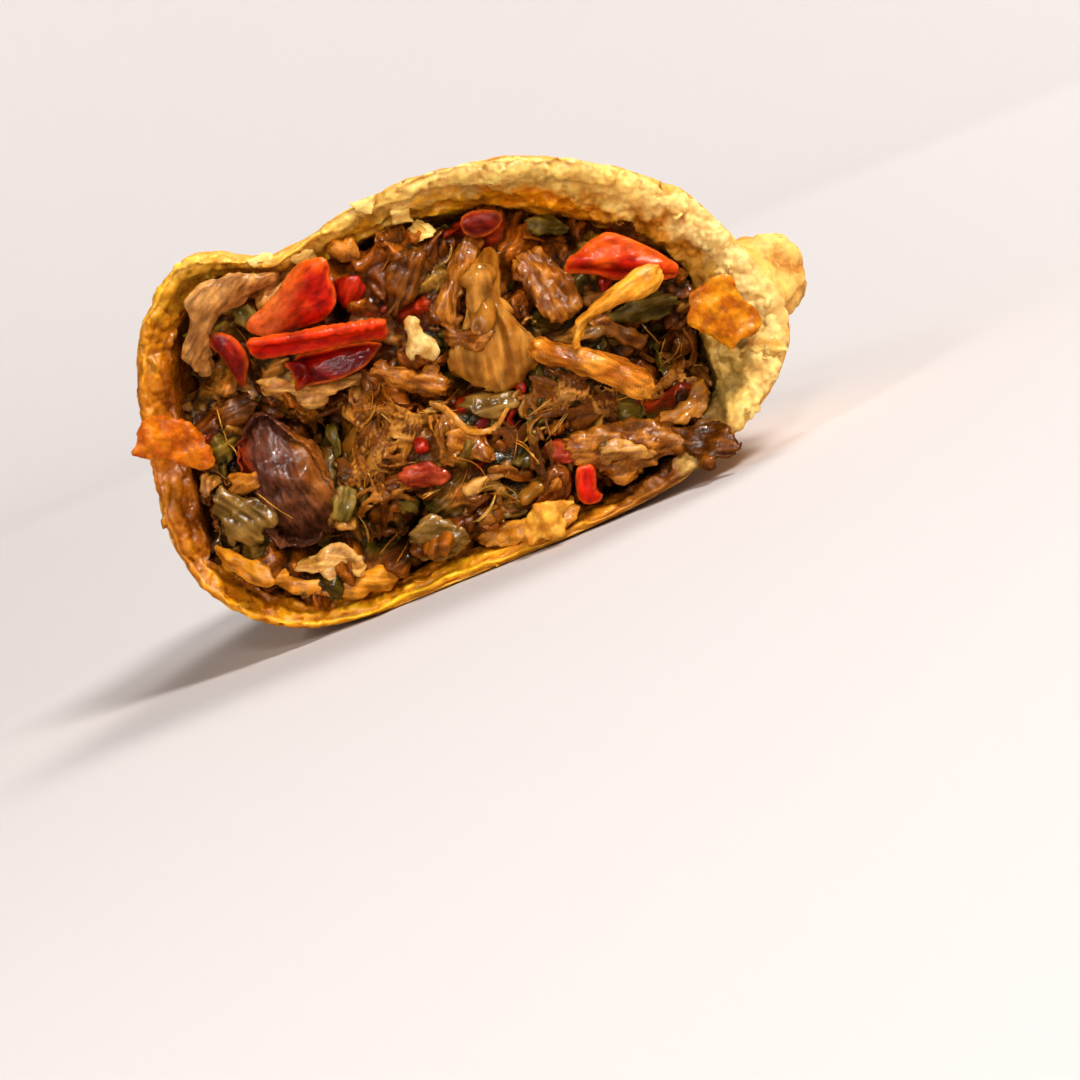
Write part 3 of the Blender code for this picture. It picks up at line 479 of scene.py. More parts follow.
def make_crust():
    """The case with its blisters, pleats and torn edge, coloured by where each point lies in the wall, with
    painted shade in the creases of the crumb and of the crimp.
    """
    mesh = shaped_mesh(merged_copy("pastry_case"), [
        ("REMESH", {"mode": "VOXEL", "voxel_size": CRUST_VOXEL}),
        ("SMOOTH", {"factor": 0.5, "iterations": CRUST_SMOOTHING}),
    ])
    refined(mesh, lambda middle, normal: middle.y < TEAR_Y[0])
    refined(mesh, lambda middle, normal: middle.y < TEAR_Y[1] and normal.y < -0.25)
    points, normals = points_of(mesh), normals_of(mesh)
    case = BVHTree.FromPolygons([v.co for v in mesh.vertices], [p.vertices for p in mesh.polygons])
    share = wall_share(points, case)
    torn = ramp(-normals[:, 1], 0.25, 0.62) * ramp(-points[:, 1], 21.0, 25.0)
    skin = ramp(share, 0.55, 0.85) * (1 - torn)
    lining = (1 - ramp(share, 0.12, 0.4)) * (1 - torn)
    ear = ramp(points[:, 0], 33.0, 36.0) * ramp(points[:, 2], 8.0, 12.0)
    angle = mouth_angle(points) + 9 * waves(points, 4.0, 1)
    angle = (angle + 180) % 360 - 180
    outer, inner, crumb_size, crumb_rough, back, parting = zone_values(angle)

    slope = back * (1 - ramp(share, 0.12, 0.9)) * (1 - ramp(points[:, 1], -31.0, -12.0))
    slope *= 1 + 0.5 * waves(points, 3.0, 14)
    ragged = 0.8 * waves(points, 5.0, 17, 3) * torn * (0.5 + 0.5 * crumb_size)
    level = SHEETS * share + 0.55 * waves(points, 6.0, 18, 2) + 0.16 * waves(points, 1.6, 19)
    sheet = level - np.floor(level)
    sheet = ramp(sheet, 0.0, 0.16) * (1 - 0.9 * sheet)
    ragged += parting * torn * (sheet - 0.4) * (1 + 0.5 * waves(points, 3.0, 20))
    dimple = 1 - ramp(cells(points, HONEYCOMB, 21), 0.12, 0.42)
    lift = 1 - (1 - ramp(points[:, 2], *BASE_BLEND)) * ramp(share, 0.5, 0.8)
    swell = 0.42 * waves(points, 9.0, 2) + 0.22 * waves(points, 3.4, 3) + 0.07 * waves(points, 1.1, 4)
    blister = np.maximum(waves(points, 4.2, 5), 0.12) - 0.12
    large, small = knobs(points, 2.9, 7), knobs(points, 1.25, 8)
    crumbs = crumb_size * (1.0 * large + 0.55 * small + 0.25 * waves(points, 0.6, 9) - 0.85)
    crumbs -= 0.28 * dimple * np.minimum(1, 2 * parting)
    folds = 0.7 * waves(points, 5.0, 9, stretch=(1, 2.2, 1))
    folds += 0.22 * waves(points, 1.6, 10, stretch=(1, 3, 1))
    move = skin * (swell + 0.5 * blister) * (1 - ear) + torn * crumbs + lining * folds
    move += ear * (1 - torn) * (0.8 * large + 0.35 * small - 0.9)
    points = points + normals * (move * lift)[:, None]
    points[:, 1] += slope - ragged
    points[:, 2] = np.maximum(points[:, 2], 0.0)
    set_points(mesh, points)

    tan = waves(points, 14.0, 11)
    spot = waves(points, 5.0, 12, 4)
    skin_colour = mixed(SKIN_COLOURS[0], SKIN_COLOURS[1], ramp(tan, -0.1, 0.6))
    skin_colour = mixed(skin_colour, SKIN_COLOURS[2], ramp(spot, 0.0, 0.6) * 0.7)
    # The crimp is painted lighter on its lumps and darker in the creases between them: painted shade, mixed
    # with random spots of real colour.
    ear_tone_and_shade = mixed(*EAR_SHADED_AND_LIT_COLOURS, ramp(large + 0.5 * spot, 0.3, 1.1))
    skin_colour = mixed(skin_colour, ear_tone_and_shade, ear)
    lining_colour = mixed(inner * 0.7, inner * 1.25, ramp(waves(points, 4.0, 13), -0.3, 0.4))
    crumb_colour = mixed(inner, outer, ramp(share + 0.22 * waves(points, 2.2, 16) + 0.12 * large, 0.36, 0.66))
    # Painted shade and light: the crumb is darker in the creases between its lumps and lighter on their tops,
    # darker where its layers part and in its air holes, and lighter on its layer edges.
    crumb_colour *= (0.62 + 0.30 * large + 0.22 * small)[:, None] ** (0.4, 0.7, 1.0)
    layered = np.minimum(1, 1.4 * parting)
    # Painted shade where the layers part and in the air holes, and painted light on the layer edges.
    depths = 1 + layered * (0.95 * sheet - 0.45) - 0.25 * layered * dimple
    crumb_colour *= depths[:, None] ** (0.7, 1.0, 1.2)
    tone = mixed(lining_colour, skin_colour, ramp(share, 0.3, 0.7))
    tone = mixed(tone, crumb_colour, torn)
    store(mesh, "tone", np.clip(tone, 0, 1))
    store(mesh, "skin", skin)
    store(mesh, "loose", torn * np.clip(crumb_size - 0.3, 0, 1))
    store(mesh, "oil", (1 - skin) * (1 - ramp(crumb_rough, 0.29, 0.42)))
    untorn = LINING_DRYNESS * (1 - skin) + SKIN_DRYNESS * skin
    store(mesh, "dryness", untorn * (1 - torn) + crumb_rough * torn)
    return finished(mesh, "baked_crust", ["pastry_case"], [crust_material()])


crust = make_crust()


# Crumbs on the torn dough
# Where the dough tore it leaves loose crumbs and thin leaves of crust, most of them on the right and along
# the top. Each one is a small folded leaf, stuck on the tear at any angle.
CRUMB_SPREAD = 0.11
CRUMB_SIZE = (0.35, 1.25)
CRUMB_SEED = 5
CRUMB_LIFT = 0.15


def tree_of(name, sockets):
    """An empty tree of Geometry Nodes with a mesh in, a mesh out and named inputs of (kind, value)."""
    tree = bpy.data.node_groups.new(name, "GeometryNodeTree")
    tree.interface.new_socket("Mesh", in_out="OUTPUT", socket_type="NodeSocketGeometry")
    tree.interface.new_socket("Mesh", in_out="INPUT", socket_type="NodeSocketGeometry")
    for label, (kind, value) in sockets.items():
        made = tree.interface.new_socket(label, in_out="INPUT", socket_type="NodeSocket" + kind)
        if value is not None:
            made.default_value = value
    return tree, node(tree, "NodeGroupInput").outputs


def run_tree(tree, mesh):
    """The plain mesh that a tree of Geometry Nodes makes from a mesh."""
    holder = bpy.data.objects.new("grown", mesh)
    scene.collection.objects.link(holder)
    modifier = holder.modifiers.new("grow", "NODES")
    modifier.node_group = tree
    graph = bpy.context.evaluated_depsgraph_get()
    made = bpy.data.meshes.new_from_object(holder.evaluated_get(graph))
    holder.modifiers.remove(modifier)
    bpy.data.objects.remove(holder)
    return made


def at_random(tree, low, high, seed):
    """A random vector for each instance, each part of it between low and high."""
    given = {"Min": low, "Max": high, "Seed": seed}
    return node(tree, "FunctionNodeRandomValue", given, data_type="FLOAT_VECTOR").outputs["Value"]


def stored(tree, name):
    """A number that the points carry, in Geometry Nodes."""
    given = {"Name": name}
    return node(tree, "GeometryNodeInputNamedAttribute", given, data_type="FLOAT").outputs["Attribute"]


def dressed(tree, solid, material):
    """Ends a tree of Geometry Nodes: what it made, with its material."""
    dressed_solid = node(tree, "GeometryNodeSetMaterial", {"Geometry": solid, "Material": material})
    node(tree, "NodeGroupOutput", {"Mesh": dressed_solid.outputs["Geometry"]})


def crumb_tree(material):
    """Leaves and crumbs that stand on a torn face, more where it is crumbly."""
    tree, given = tree_of("crumbs_on_tear", {
        "Spread": ("Float", CRUMB_SPREAD),
        "Smallest": ("Float", CRUMB_SIZE[0]),
        "Largest": ("Float", CRUMB_SIZE[1]),
        "Seed": ("Int", CRUMB_SEED),
    })
    thick = maths(tree, "MULTIPLY", stored(tree, "loose"), given["Spread"])
    spots = node(tree, "GeometryNodeDistributePointsOnFaces",
                 {"Mesh": given["Mesh"], "Density": thick, "Seed": given["Seed"]}).outputs
    leaf = node(tree, "GeometryNodeMeshIcoSphere", {"Radius": 1.0, "Subdivisions": 2}).outputs["Mesh"]
    tilt = at_random(tree, (-0.9, -0.9, 0.0), (0.9, 0.9, 6.28), 3)
    turn = node(tree, "FunctionNodeEulerToRotation", {"Euler": tilt}).outputs["Rotation"]
    turn = node(tree, "FunctionNodeRotateRotation", {"Rotation": spots["Rotation"], "Rotate By": turn},
                rotation_space="LOCAL").outputs["Rotation"]
    size = node(tree, "FunctionNodeRandomValue", {2: given["Smallest"], 3: given["Largest"], "Seed": 4},
                data_type="FLOAT").outputs[1]
    scale = scaled(tree, at_random(tree, (0.6, 0.45, 0.10), (1.1, 0.9, 0.3), 8), size)
    placed = node(tree, "GeometryNodeInstanceOnPoints", {
        "Points": spots["Points"], "Instance": leaf, "Rotation": turn, "Scale": scale}).outputs["Instances"]
    real = node(tree, "GeometryNodeRealizeInstances", {"Geometry": placed}).outputs["Geometry"]
    spot = node(tree, "GeometryNodeInputPosition").outputs["Position"]
    rough = node(tree, "ShaderNodeTexNoise", {"Vector": spot, "Scale": 1.5, "Detail": 3.0}).outputs["Color"]
    centred = node(tree, "ShaderNodeVectorMath", {0: rough, 1: (0.5, 0.5, 0.5)}, operation="SUBTRACT")
    push = scaled(tree, centred.outputs["Vector"], 1.3)
    bent = node(tree, "GeometryNodeSetPosition", {"Geometry": real, "Offset": push}).outputs["Geometry"]
    dressed(tree, bent, material)
    return tree


def make_crumbs(crust_piece):
    """Crumbs on the tear of the finished crust. Each one keeps the colour of its spot."""
    mesh = crust_piece.data.copy()
    mesh.transform(Matrix.Scale(1 / MM, 4))
    made = run_tree(crumb_tree(crust_piece.data.materials[0]), mesh)
    made.transform(Matrix.Translation((0, CRUMB_LIFT, 0)))
    points = points_of(made)
    points[:, 2] = np.maximum(points[:, 2], CRUMB_LIFT)
    set_points(made, points)
    return finished(made, "torn_crumbs", materials=[crust_piece.data.materials[0]])


make_crumbs(crust)


# Heap of filling
# Slow-roasted pork pulled into shreds, with onion, chillies and a brown sauce. It was spooned in warm and
# baked, so the shreds lie in clumps, each with its own grain, and the sauce leaves them wet.
HEAP_VOXEL = 1.0
DRY_FILM = 0.2
HEAP_FACE_Y = -15.0
EDGE_FILL = 3.0
EDGE_FILL_ANGLE = -140.0
CLUMP_GAP = 1.4
CLUMP_COUNT = 520
CLUMP_SEED = 23
CLUMP_KINDS = (
    # share of the clumps, lower and higher colour, height in mm, depth of the grain, dryness
    (0.40, (0.130, 0.032, 0.002), (0.330, 0.100, 0.006), (0.6, 1.9), 0.34, 0.26),
    (0.12, (0.300, 0.115, 0.014), (0.500, 0.230, 0.040), (0.8, 2.1), 0.28, 0.30),
    (0.22, (0.070, 0.045, 0.004), (0.190, 0.118, 0.016), (0.4, 1.5), 0.16, 0.18),
    (0.10, (0.230, 0.105, 0.012), (0.400, 0.210, 0.035), (0.6, 1.7), 0.08, 0.12),
    (0.03, (0.240, 0.012, 0.003), (0.380, 0.030, 0.005), (0.4, 1.0), 0.08, 0.18),
    # the last kind is nearly black and sunk below the face: painted shade for the deep gaps of the heap
    (0.13, (0.024, 0.008, 0.001), (0.060, 0.020, 0.002), (-3.2, -1.4), 0.10, 0.30),
)
HOLLOWS = (
    # x, z, radius and depth of the larger gaps in the heap
    (22.2, 13.2, 3.6, 6.0),
    (13.7, 33.0, 3.2, 4.0),
    (21.0, 22.5, 3.2, 4.0),
    (-30.5, 33.0, 2.6, 3.0),
    (-15.4, 26.4, 2.6, 3.0),
    (-25.0, 9.6, 2.4, 3.0),
    (8.4, 30.0, 1.6, 4.0),
    (18.0, 10.8, 2.0, 3.5),
    (-19.6, 21.5, 1.5, 3.0),
    (-1.5, 22.5, 2.0, 3.0),
    (-4.5, 7.5, 1.5, 2.5),
)
SHADED_HOLLOW = (20.5, 14.5, 8.5, 0.5)
SAUCE_COLOUR = (0.260, 0.062, 0.003)
LAID_PIECES = [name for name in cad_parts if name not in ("pastry_case", "filling")]


def tree_over(meshes):
    """A search tree over several meshes in metres, itself in millimetres."""
    corners, faces = [], []
    for mesh in meshes:
        first = len(corners)
        corners += [v.co / MM for v in mesh.vertices]
        faces += [[first + index for index in face.vertices] for face in mesh.polygons]
    return BVHTree.FromPolygons(corners, faces)


def spread_over(points, gap, count, chance):
    """Indices of points that are at least gap apart, chosen in a random order."""
    chosen, kept = [], np.empty((0, 3))
    for index in chance.permutation(len(points)):
        if len(chosen) == count:
            break
        spot = points[index]
        if len(kept) and np.min(np.sum((kept - spot) ** 2, axis=1)) < gap * gap:
            continue
        chosen.append(index)
        kept = np.vstack([kept, spot])
    return chosen


def pull_heading(x, z):
    """The direction in which the pork was pulled at a place on the face, as an angle from +X towards +Z."""
    return 3.4 * noise.noise(Vector((x / 15.0, 2.7, z / 15.0)))


def clumps_of(points, chance):
    """Gives each point its clump's kind, random share and bulk, how far in it is from the clump's edge, the
    height of its grain, and its place along, across and through that grain.
    """
    front = np.nonzero(points[:, 1] < HEAP_FACE_Y)[0]
    centres = points[front[spread_over(points[front], CLUMP_GAP, CLUMP_COUNT, chance)]]
    count = len(centres)
    drift = np.array([pull_heading(c[0], c[2]) for c in centres]) + chance.normal(0, 0.6, count)
    along = np.column_stack([np.cos(drift), chance.normal(0, 0.12, count), np.sin(drift)])
    along /= np.linalg.norm(along, axis=1)[:, None]
    big = chance.uniform(0, 1, count) ** 3
    length = 1.7 + 5.6 * big
    width = length * chance.uniform(0.28, 0.5, count)
    best, second = np.full(len(points), 1e9), np.full(len(points), 1e9)
    owner = np.zeros(len(points), int)
    warped = points + 0.7 * np.column_stack([waves(points, 1.8, 40 + k, 2) for k in range(3)])
    for index in range(count):
        away = warped - centres[index]
        run = away @ along[index]
        far = (run / length[index]) ** 2 + (np.sum(away ** 2, axis=1) - run ** 2) / width[index] ** 2
        second = np.where(far < best, best, np.minimum(second, far))
        owner = np.where(far < best, index, owner)
        best = np.minimum(best, far)
    inward = np.sqrt(second) - np.sqrt(best)
    away = points - centres[owner]
    run = np.sum(away * along[owner], axis=1)
    side = np.sum(away * np.cross(along[owner], (0.0, -1.0, 0.0)), axis=1) + 0.25 * np.sin(run * 1.3)
    grain = np.array([noise.noise((u, v, k)) for u, v, k in zip(run / 3.4, side / 0.36, owner * 3.7)])
    kind = np.searchsorted(np.cumsum([k[0] for k in CLUMP_KINDS]), chance.uniform(0, 0.999, count))
    kind[(kind == len(CLUMP_KINDS) - 1) & (big > 0.4)] = 0
    own = np.column_stack([run, side, owner * 3.7])
    return kind[owner], chance.uniform(0, 1, count)[owner], inward, grain, (0.7 + 0.9 * big)[owner], own


def store_grain(mesh, own):
    """Keeps each point's place along, across and through its own grain, for the streaks of its colour."""
    grain = mesh.attributes.new("grain", "FLOAT_VECTOR", "POINT")
    grain.data.foreach_set("vector", own.astype(np.float32).ravel())


def wet_material(name, gloss=0.35, fibre=(0.16, 2.6), depth=0.00012, under=0.14, spread=0.45,
                 beads=BEADS_PER_METRE):
    """Moist food: the points' own colour, streaked along the grain and partly with painted shade in the
    bump's grooves, under a wet film with beads of fat.
    """
    material = bpy.data.materials.new(name)
    material.use_nodes = True
    tree = material.node_tree
    surface = tree.nodes["Principled BSDF"]
    place = node(tree, "ShaderNodeTexCoord").outputs["Object"]
    tone = node(tree, "ShaderNodeAttribute", attribute_name="tone").outputs["Color"]
    dry = node(tree, "ShaderNodeAttribute", attribute_name="dryness").outputs["Fac"]
    own = node(tree, "ShaderNodeAttribute", attribute_name="grain").outputs["Vector"]
    own = node(tree, "ShaderNodeVectorMath", {0: own, 1: (fibre[0], 1.0, 1.0)}, operation="MULTIPLY")
    streak = noise_on(tree, own.outputs["Vector"], fibre[1], 4.0, 0.65)
    broad = noise_on(tree, place, 520.0, 5.0, 0.65)
    fine = noise_on(tree, place, 2200.0, 3.0, 0.6)
    both = maths(tree, "ADD", streak, broad)
    # The same noise raises the bump and lightens the colour: the grain's streaks, partly painted shade in the
    # grooves and painted light on the ridges.
    shade = remapped(tree, both, 0.72, 1.28, 1 - spread, 1 + spread * 1.6)
    tree.links.new(scaled(tree, tone, shade), surface.inputs["Base Color"])
    rough = {0: remapped(tree, fine, 0.35, 0.65, -0.08, 0.10), 1: dry}
    rough = node(tree, "ShaderNodeMath", rough, operation="ADD", use_clamp=True).outputs["Value"]
    tree.links.new(rough, surface.inputs["Roughness"])
    grooved = bumped(tree, 0.9, depth, both)
    drop, raised = beads_of_fat(tree, place, beads, BEAD_HEIGHT, grooved)
    film = remapped(tree, drop, 0.0, 0.3, gloss * DRY_FILM)
    tree.links.new(film, surface.inputs["Coat Weight"])
    tree.links.new(grooved, surface.inputs["Normal"])
    tree.links.new(raised, surface.inputs["Coat Normal"])
    surface.inputs["Subsurface Weight"].default_value = under
    surface.inputs["Subsurface Scale"].default_value = 0.0014
    surface.inputs["Subsurface Radius"].default_value = (1.0, 0.4, 0.12)
    surface.inputs["Specular IOR Level"].default_value = 0.3
    surface.inputs["Coat Roughness"].default_value = FAT_ROUGHNESS
    surface.inputs["Coat IOR"].default_value = FAT_IOR
    return material


def hollow_shade(points):
    """Painted shade, darkest in the hollow at the right, where the filling has drawn back from the dough."""
    x, z = SHADED_HOLLOW[:2]
    away = (points[:, 0] - x) ** 2 + (points[:, 2] - z) ** 2
    return (1 - SHADED_HOLLOW[3] * np.exp(-away / SHADED_HOLLOW[2] ** 2))[:, None]


def make_heap():
    """The filling's solid, raised into clumps in front and kept behind the pieces that lie on it."""
    chance = np.random.default_rng(CLUMP_SEED)
    mesh = shaped_mesh(merged_copy("filling"), [
        ("REMESH", {"mode": "VOXEL", "voxel_size": HEAP_VOXEL}),
        ("SMOOTH", {"factor": 0.5, "iterations": 3}),
    ])
    refined(mesh, lambda middle, normal: middle.y < HEAP_FACE_Y)
    refined(mesh, lambda middle, normal: middle.y < HEAP_FACE_Y - 4 and normal.y < 0.2)
    points, normals = points_of(mesh), normals_of(mesh)
    kind, share, inward, grain, bulk, own = clumps_of(points, chance)
    deep, light, heights, furrow, dryness = (np.array([row[column] for row in CLUMP_KINDS])[kind]
                                             for column in range(1, 6))
    tall = mixed(heights[:, :1], heights[:, 1:], share)[:, 0] * bulk
    dome = ramp(inward, 0.0, 0.9)
    face = ramp(-points[:, 1], -HEAP_FACE_Y, -HEAP_FACE_Y + 5)
    swell = 1.9 * waves(points, 7.0, 33) + 0.16 * waves(points, 1.0, 34, 2)
    move = face * (dome * tall + np.sqrt(dome) * furrow * grain * 1.8 + swell - 0.9)
    laid = tree_over([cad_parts[name].data for name in LAID_PIECES])
    near = np.array([laid.find_nearest(p)[3] for p in points.tolist()])
    move = np.minimum(move, np.maximum(near - 0.35, -0.4))
    angle = mouth_angle(points)
    back = zone_values(angle)[4]
    case = tree_over([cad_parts["pastry_case"].data])
    reach = np.empty(len(points))
    for index, (x, y, z) in enumerate(points):
        ray = Vector((x - MOUTH_CENTRE[0], 0, z - MOUTH_CENTRE[1]))
        middle = Vector((MOUTH_CENTRE[0], max(y, SECTION_Y), MOUTH_CENTRE[1]))
        wall = case.ray_cast(middle, ray.normalized())[3]
        reach[index] = ray.length / wall if wall else 1.0
    points = points + normals * move[:, None]
    points[:, 1] += face * back * 0.6 * ramp(reach, 0.84, 1.0)
    elsewhere = ramp(-np.cos(np.radians(angle - EDGE_FILL_ANGLE)), -0.9, -0.3)
    points[:, 1] -= face * EDGE_FILL * (1 - elsewhere) * ramp(reach, 0.70, 0.86)
    for x, z, radius, depth in HOLLOWS:
        away = (points[:, 0] - x) ** 2 + (points[:, 2] - z) ** 2
        points[:, 1] += face * depth * np.exp(-away / radius ** 2)
    set_points(mesh, points)
    # Painted shade: each clump is darker near its edges, where it meets the next, and its colour follows its
    # grain, partly as real streaks and partly as painted shade in the grooves and painted light on the
    # ridges.
    colour = mixed(deep, light, np.clip(share + 0.5 * grain, 0, 1))
    crease_shade = (0.26 + 0.74 * ramp(inward, 0.0, 0.36))[:, None]
    colour *= crease_shade * (0.85 + 0.6 * np.clip(grain, -0.5, 0.6))[:, None]
    colour = mixed(colour, SAUCE_COLOUR, 0.3 * ramp(waves(points, 7.0, 35), -0.1, 0.5))
    # Painted shade: darker towards the rim, where the heap meets the wall of dough, and in the hollow at the
    # right.
    colour *= (1 - 0.3 * ramp(reach, 0.9, 1.0))[:, None] * hollow_shade(points)
    store(mesh, "tone", np.clip(colour, 0, 1))
    store_grain(mesh, own)
    store(mesh, "dryness", dryness)
    return finished(mesh, "pork_heap", ["filling"], [wet_material("sauced_pork")])


make_heap()


# Pieces that lie on the face
# The larger pieces that the break laid bare: strips and squares of red pepper with the skin on, roasted pork,
# a petal of soft onion, and leaves of crust. Each is cut to its own outline and lies in its solid's plane.
PIECE_VOXEL = 0.24
EYE_Y = -60.0
pork_gloss = wet_material("pulled_pork", gloss=0.45)
onion_gloss = wet_material("clear_onion", gloss=0.6, fibre=(0.2, 1.3), depth=0.00008, under=0.5, spread=0.34)


def front_of(tree, x, z):
    """Where a line from in front meets a surface, or None."""
    found = tree.ray_cast(Vector((x, EYE_Y, z)), Vector((0, 1, 0)))[0]
    return found.y if found else None


def own_axes(points):
    """A flat piece's middle and its long, cross and thin directions, the thin one facing the front."""
    middle = points.mean(0)
    _, axes = np.linalg.eigh(np.cov((points - middle).T))
    thin, long = axes[:, 0], axes[:, 2]
    if thin[1] > 0:
        thin = -thin
    if thin[1] > -0.6:
        thin = np.array((0.0, -1.0, 0.0))
    return middle, long if long[0] > 0 else -long, thin


def seat_of(name):
    """The depth of a laid solid's middle plane, as a function of x and z."""
    corners = points_of(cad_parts[name].data) / MM
    middle, _, thin = own_axes(corners)
    away = (corners - middle) @ thin
    lift = (away.max() + away.min()) / 2

    def depth(x, z):
        return middle[1] - lift - (thin[0] * (x - middle[0]) + thin[2] * (z - middle[2])) / thin[1]
    return depth


def cut_out(outline, thickness):
    """A closed slab of an outline in x and z, half its thickness each side of y = 0."""
    shape = bmesh.new()
    face = shape.faces.new([shape.verts.new((x, -thickness / 2, z)) for x, z in outline])
    extruded = bmesh.ops.extrude_face_region(shape, geom=[face])["geom"]
    back = [part for part in extruded if isinstance(part, bmesh.types.BMVert)]
    bmesh.ops.translate(shape, vec=(0, thickness, 0), verts=back)
    bmesh.ops.triangulate(shape, faces=list(shape.faces))
    bmesh.ops.recalc_face_normals(shape, faces=list(shape.faces))
    return shape


def edge_distance(points, outline):
    """How far each point is from an outline, seen from the front."""
    spots = points[:, [0, 2]]
    nearest = np.full(len(points), 1e9)
    for a, b in zip(outline, outline[1:] + outline[:1]):
        a, b = np.array(a), np.array(b)
        share = np.clip((spots - a) @ (b - a) / max((b - a) @ (b - a), 1e-9), 0, 1)
        nearest = np.minimum(nearest, np.linalg.norm(spots - a - share[:, None] * (b - a), axis=1))
    return nearest


def rest_on(trees, outline, lift):
    """The depth of a plane through the surfaces behind an outline, moved to the front by lift."""
    (low_x, low_z), (high_x, high_z) = np.min(outline, axis=0), np.max(outline, axis=0)
    rows = []
    for x in np.linspace(low_x, high_x, 6):
        for z in np.linspace(low_z, high_z, 6):
            depths = [depth for depth in (front_of(tree, x, z) for tree in trees) if depth is not None]
            if depths:
                rows.append((1.0, x, z, min(depths)))
    rows = np.array(rows)
    level, lean_x, lean_z = np.linalg.lstsq(rows[:, :3], rows[:, 3], rcond=None)[0]
    lean_x, lean_z = np.clip((lean_x, lean_z), -0.5, 0.5)
    level = np.percentile(rows[:, 3] - lean_x * rows[:, 1] - lean_z * rows[:, 2], 30) - lift
    return lambda x, z: level + lean_x * x + lean_z * z


def joined(meshes, name):
    """One mesh of several, with their attributes."""
    shape = bmesh.new()
    for mesh in meshes:
        shape.from_mesh(mesh)
        bpy.data.meshes.remove(mesh)
    made = bpy.data.meshes.new(name)
    shape.to_mesh(made)
    shape.free()
    return made


def tree_of_pieces(*names):
    """A search tree over finished pieces."""
    return tree_over([bpy.data.objects[name].data for name in names])


def rounded(outline, times):
    """An outline with its corners cut back a quarter of each side, as often as it is told."""
    for _ in range(times):
        following = outline[1:] + outline[:1]
        outline = [tuple(a[k] * (1 - t) + b[k] * t for k in (0, 1)) for a, b in zip(outline, following)
                   for t in (0.25, 0.75)]
    return outline


def laid_piece(depth, outline, thickness, dome, soft, smoothing=2, voxel=PIECE_VOXEL, corners_cut=2):
    """A slab cut to an outline, swollen by dome towards the front, whose middle plane lies at depth(x, z).

    Gives the mesh, its points, its normals, its coordinates along, across and up from its own middle, and its
    distance from the outline.
    """
    outline = rounded(list(outline), corners_cut)
    mesh = shaped_mesh(cut_out(outline, thickness), [
        ("REMESH", {"mode": "VOXEL", "voxel_size": voxel}),
        ("SMOOTH", {"factor": 0.5, "iterations": smoothing}),
    ])
    points = points_of(mesh)
    edge = edge_distance(points, outline)
    front = np.clip(0.5 - points[:, 1] / thickness, 0, 1)
    points[:, 1] -= dome * front * (1 - np.exp(-edge / soft))
    corners = np.array(outline)
    middle = corners.mean(0)
    _, axes = np.linalg.eigh(np.cov((corners - middle).T))
    long = axes[:, 1] if axes[0, 1] > 0 else -axes[:, 1]
    flat = points[:, [0, 2]] - middle
    own = np.column_stack([flat @ long, flat @ np.array((-long[1], long[0])), -points[:, 1]])
    points[:, 1] += depth(points[:, 0], points[:, 2])
    set_points(mesh, points)
    return mesh, points_of(mesh), normals_of(mesh), own, edge


def frayed(points, own, edge, amount, seed, grain=7.0):
    """Moves the points near an outline in and out: torn across the grain, and smoother along it."""
    out = own[:, :2] / np.maximum(np.hypot(own[:, 0], own[:, 1]), 0.3)[:, None]
    teeth = waves(own, 0.7, seed, 2, stretch=(grain, 1.0, 1.0))
    fray = amount * (1 - ramp(edge, 0.0, 1.2)) * (0.7 * waves(points, 2.4, seed) + 0.9 * teeth)
    points[:, 0] += fray * out[:, 0]
    points[:, 2] = np.maximum(points[:, 2] + fray * out[:, 1], 0.2)
    return points


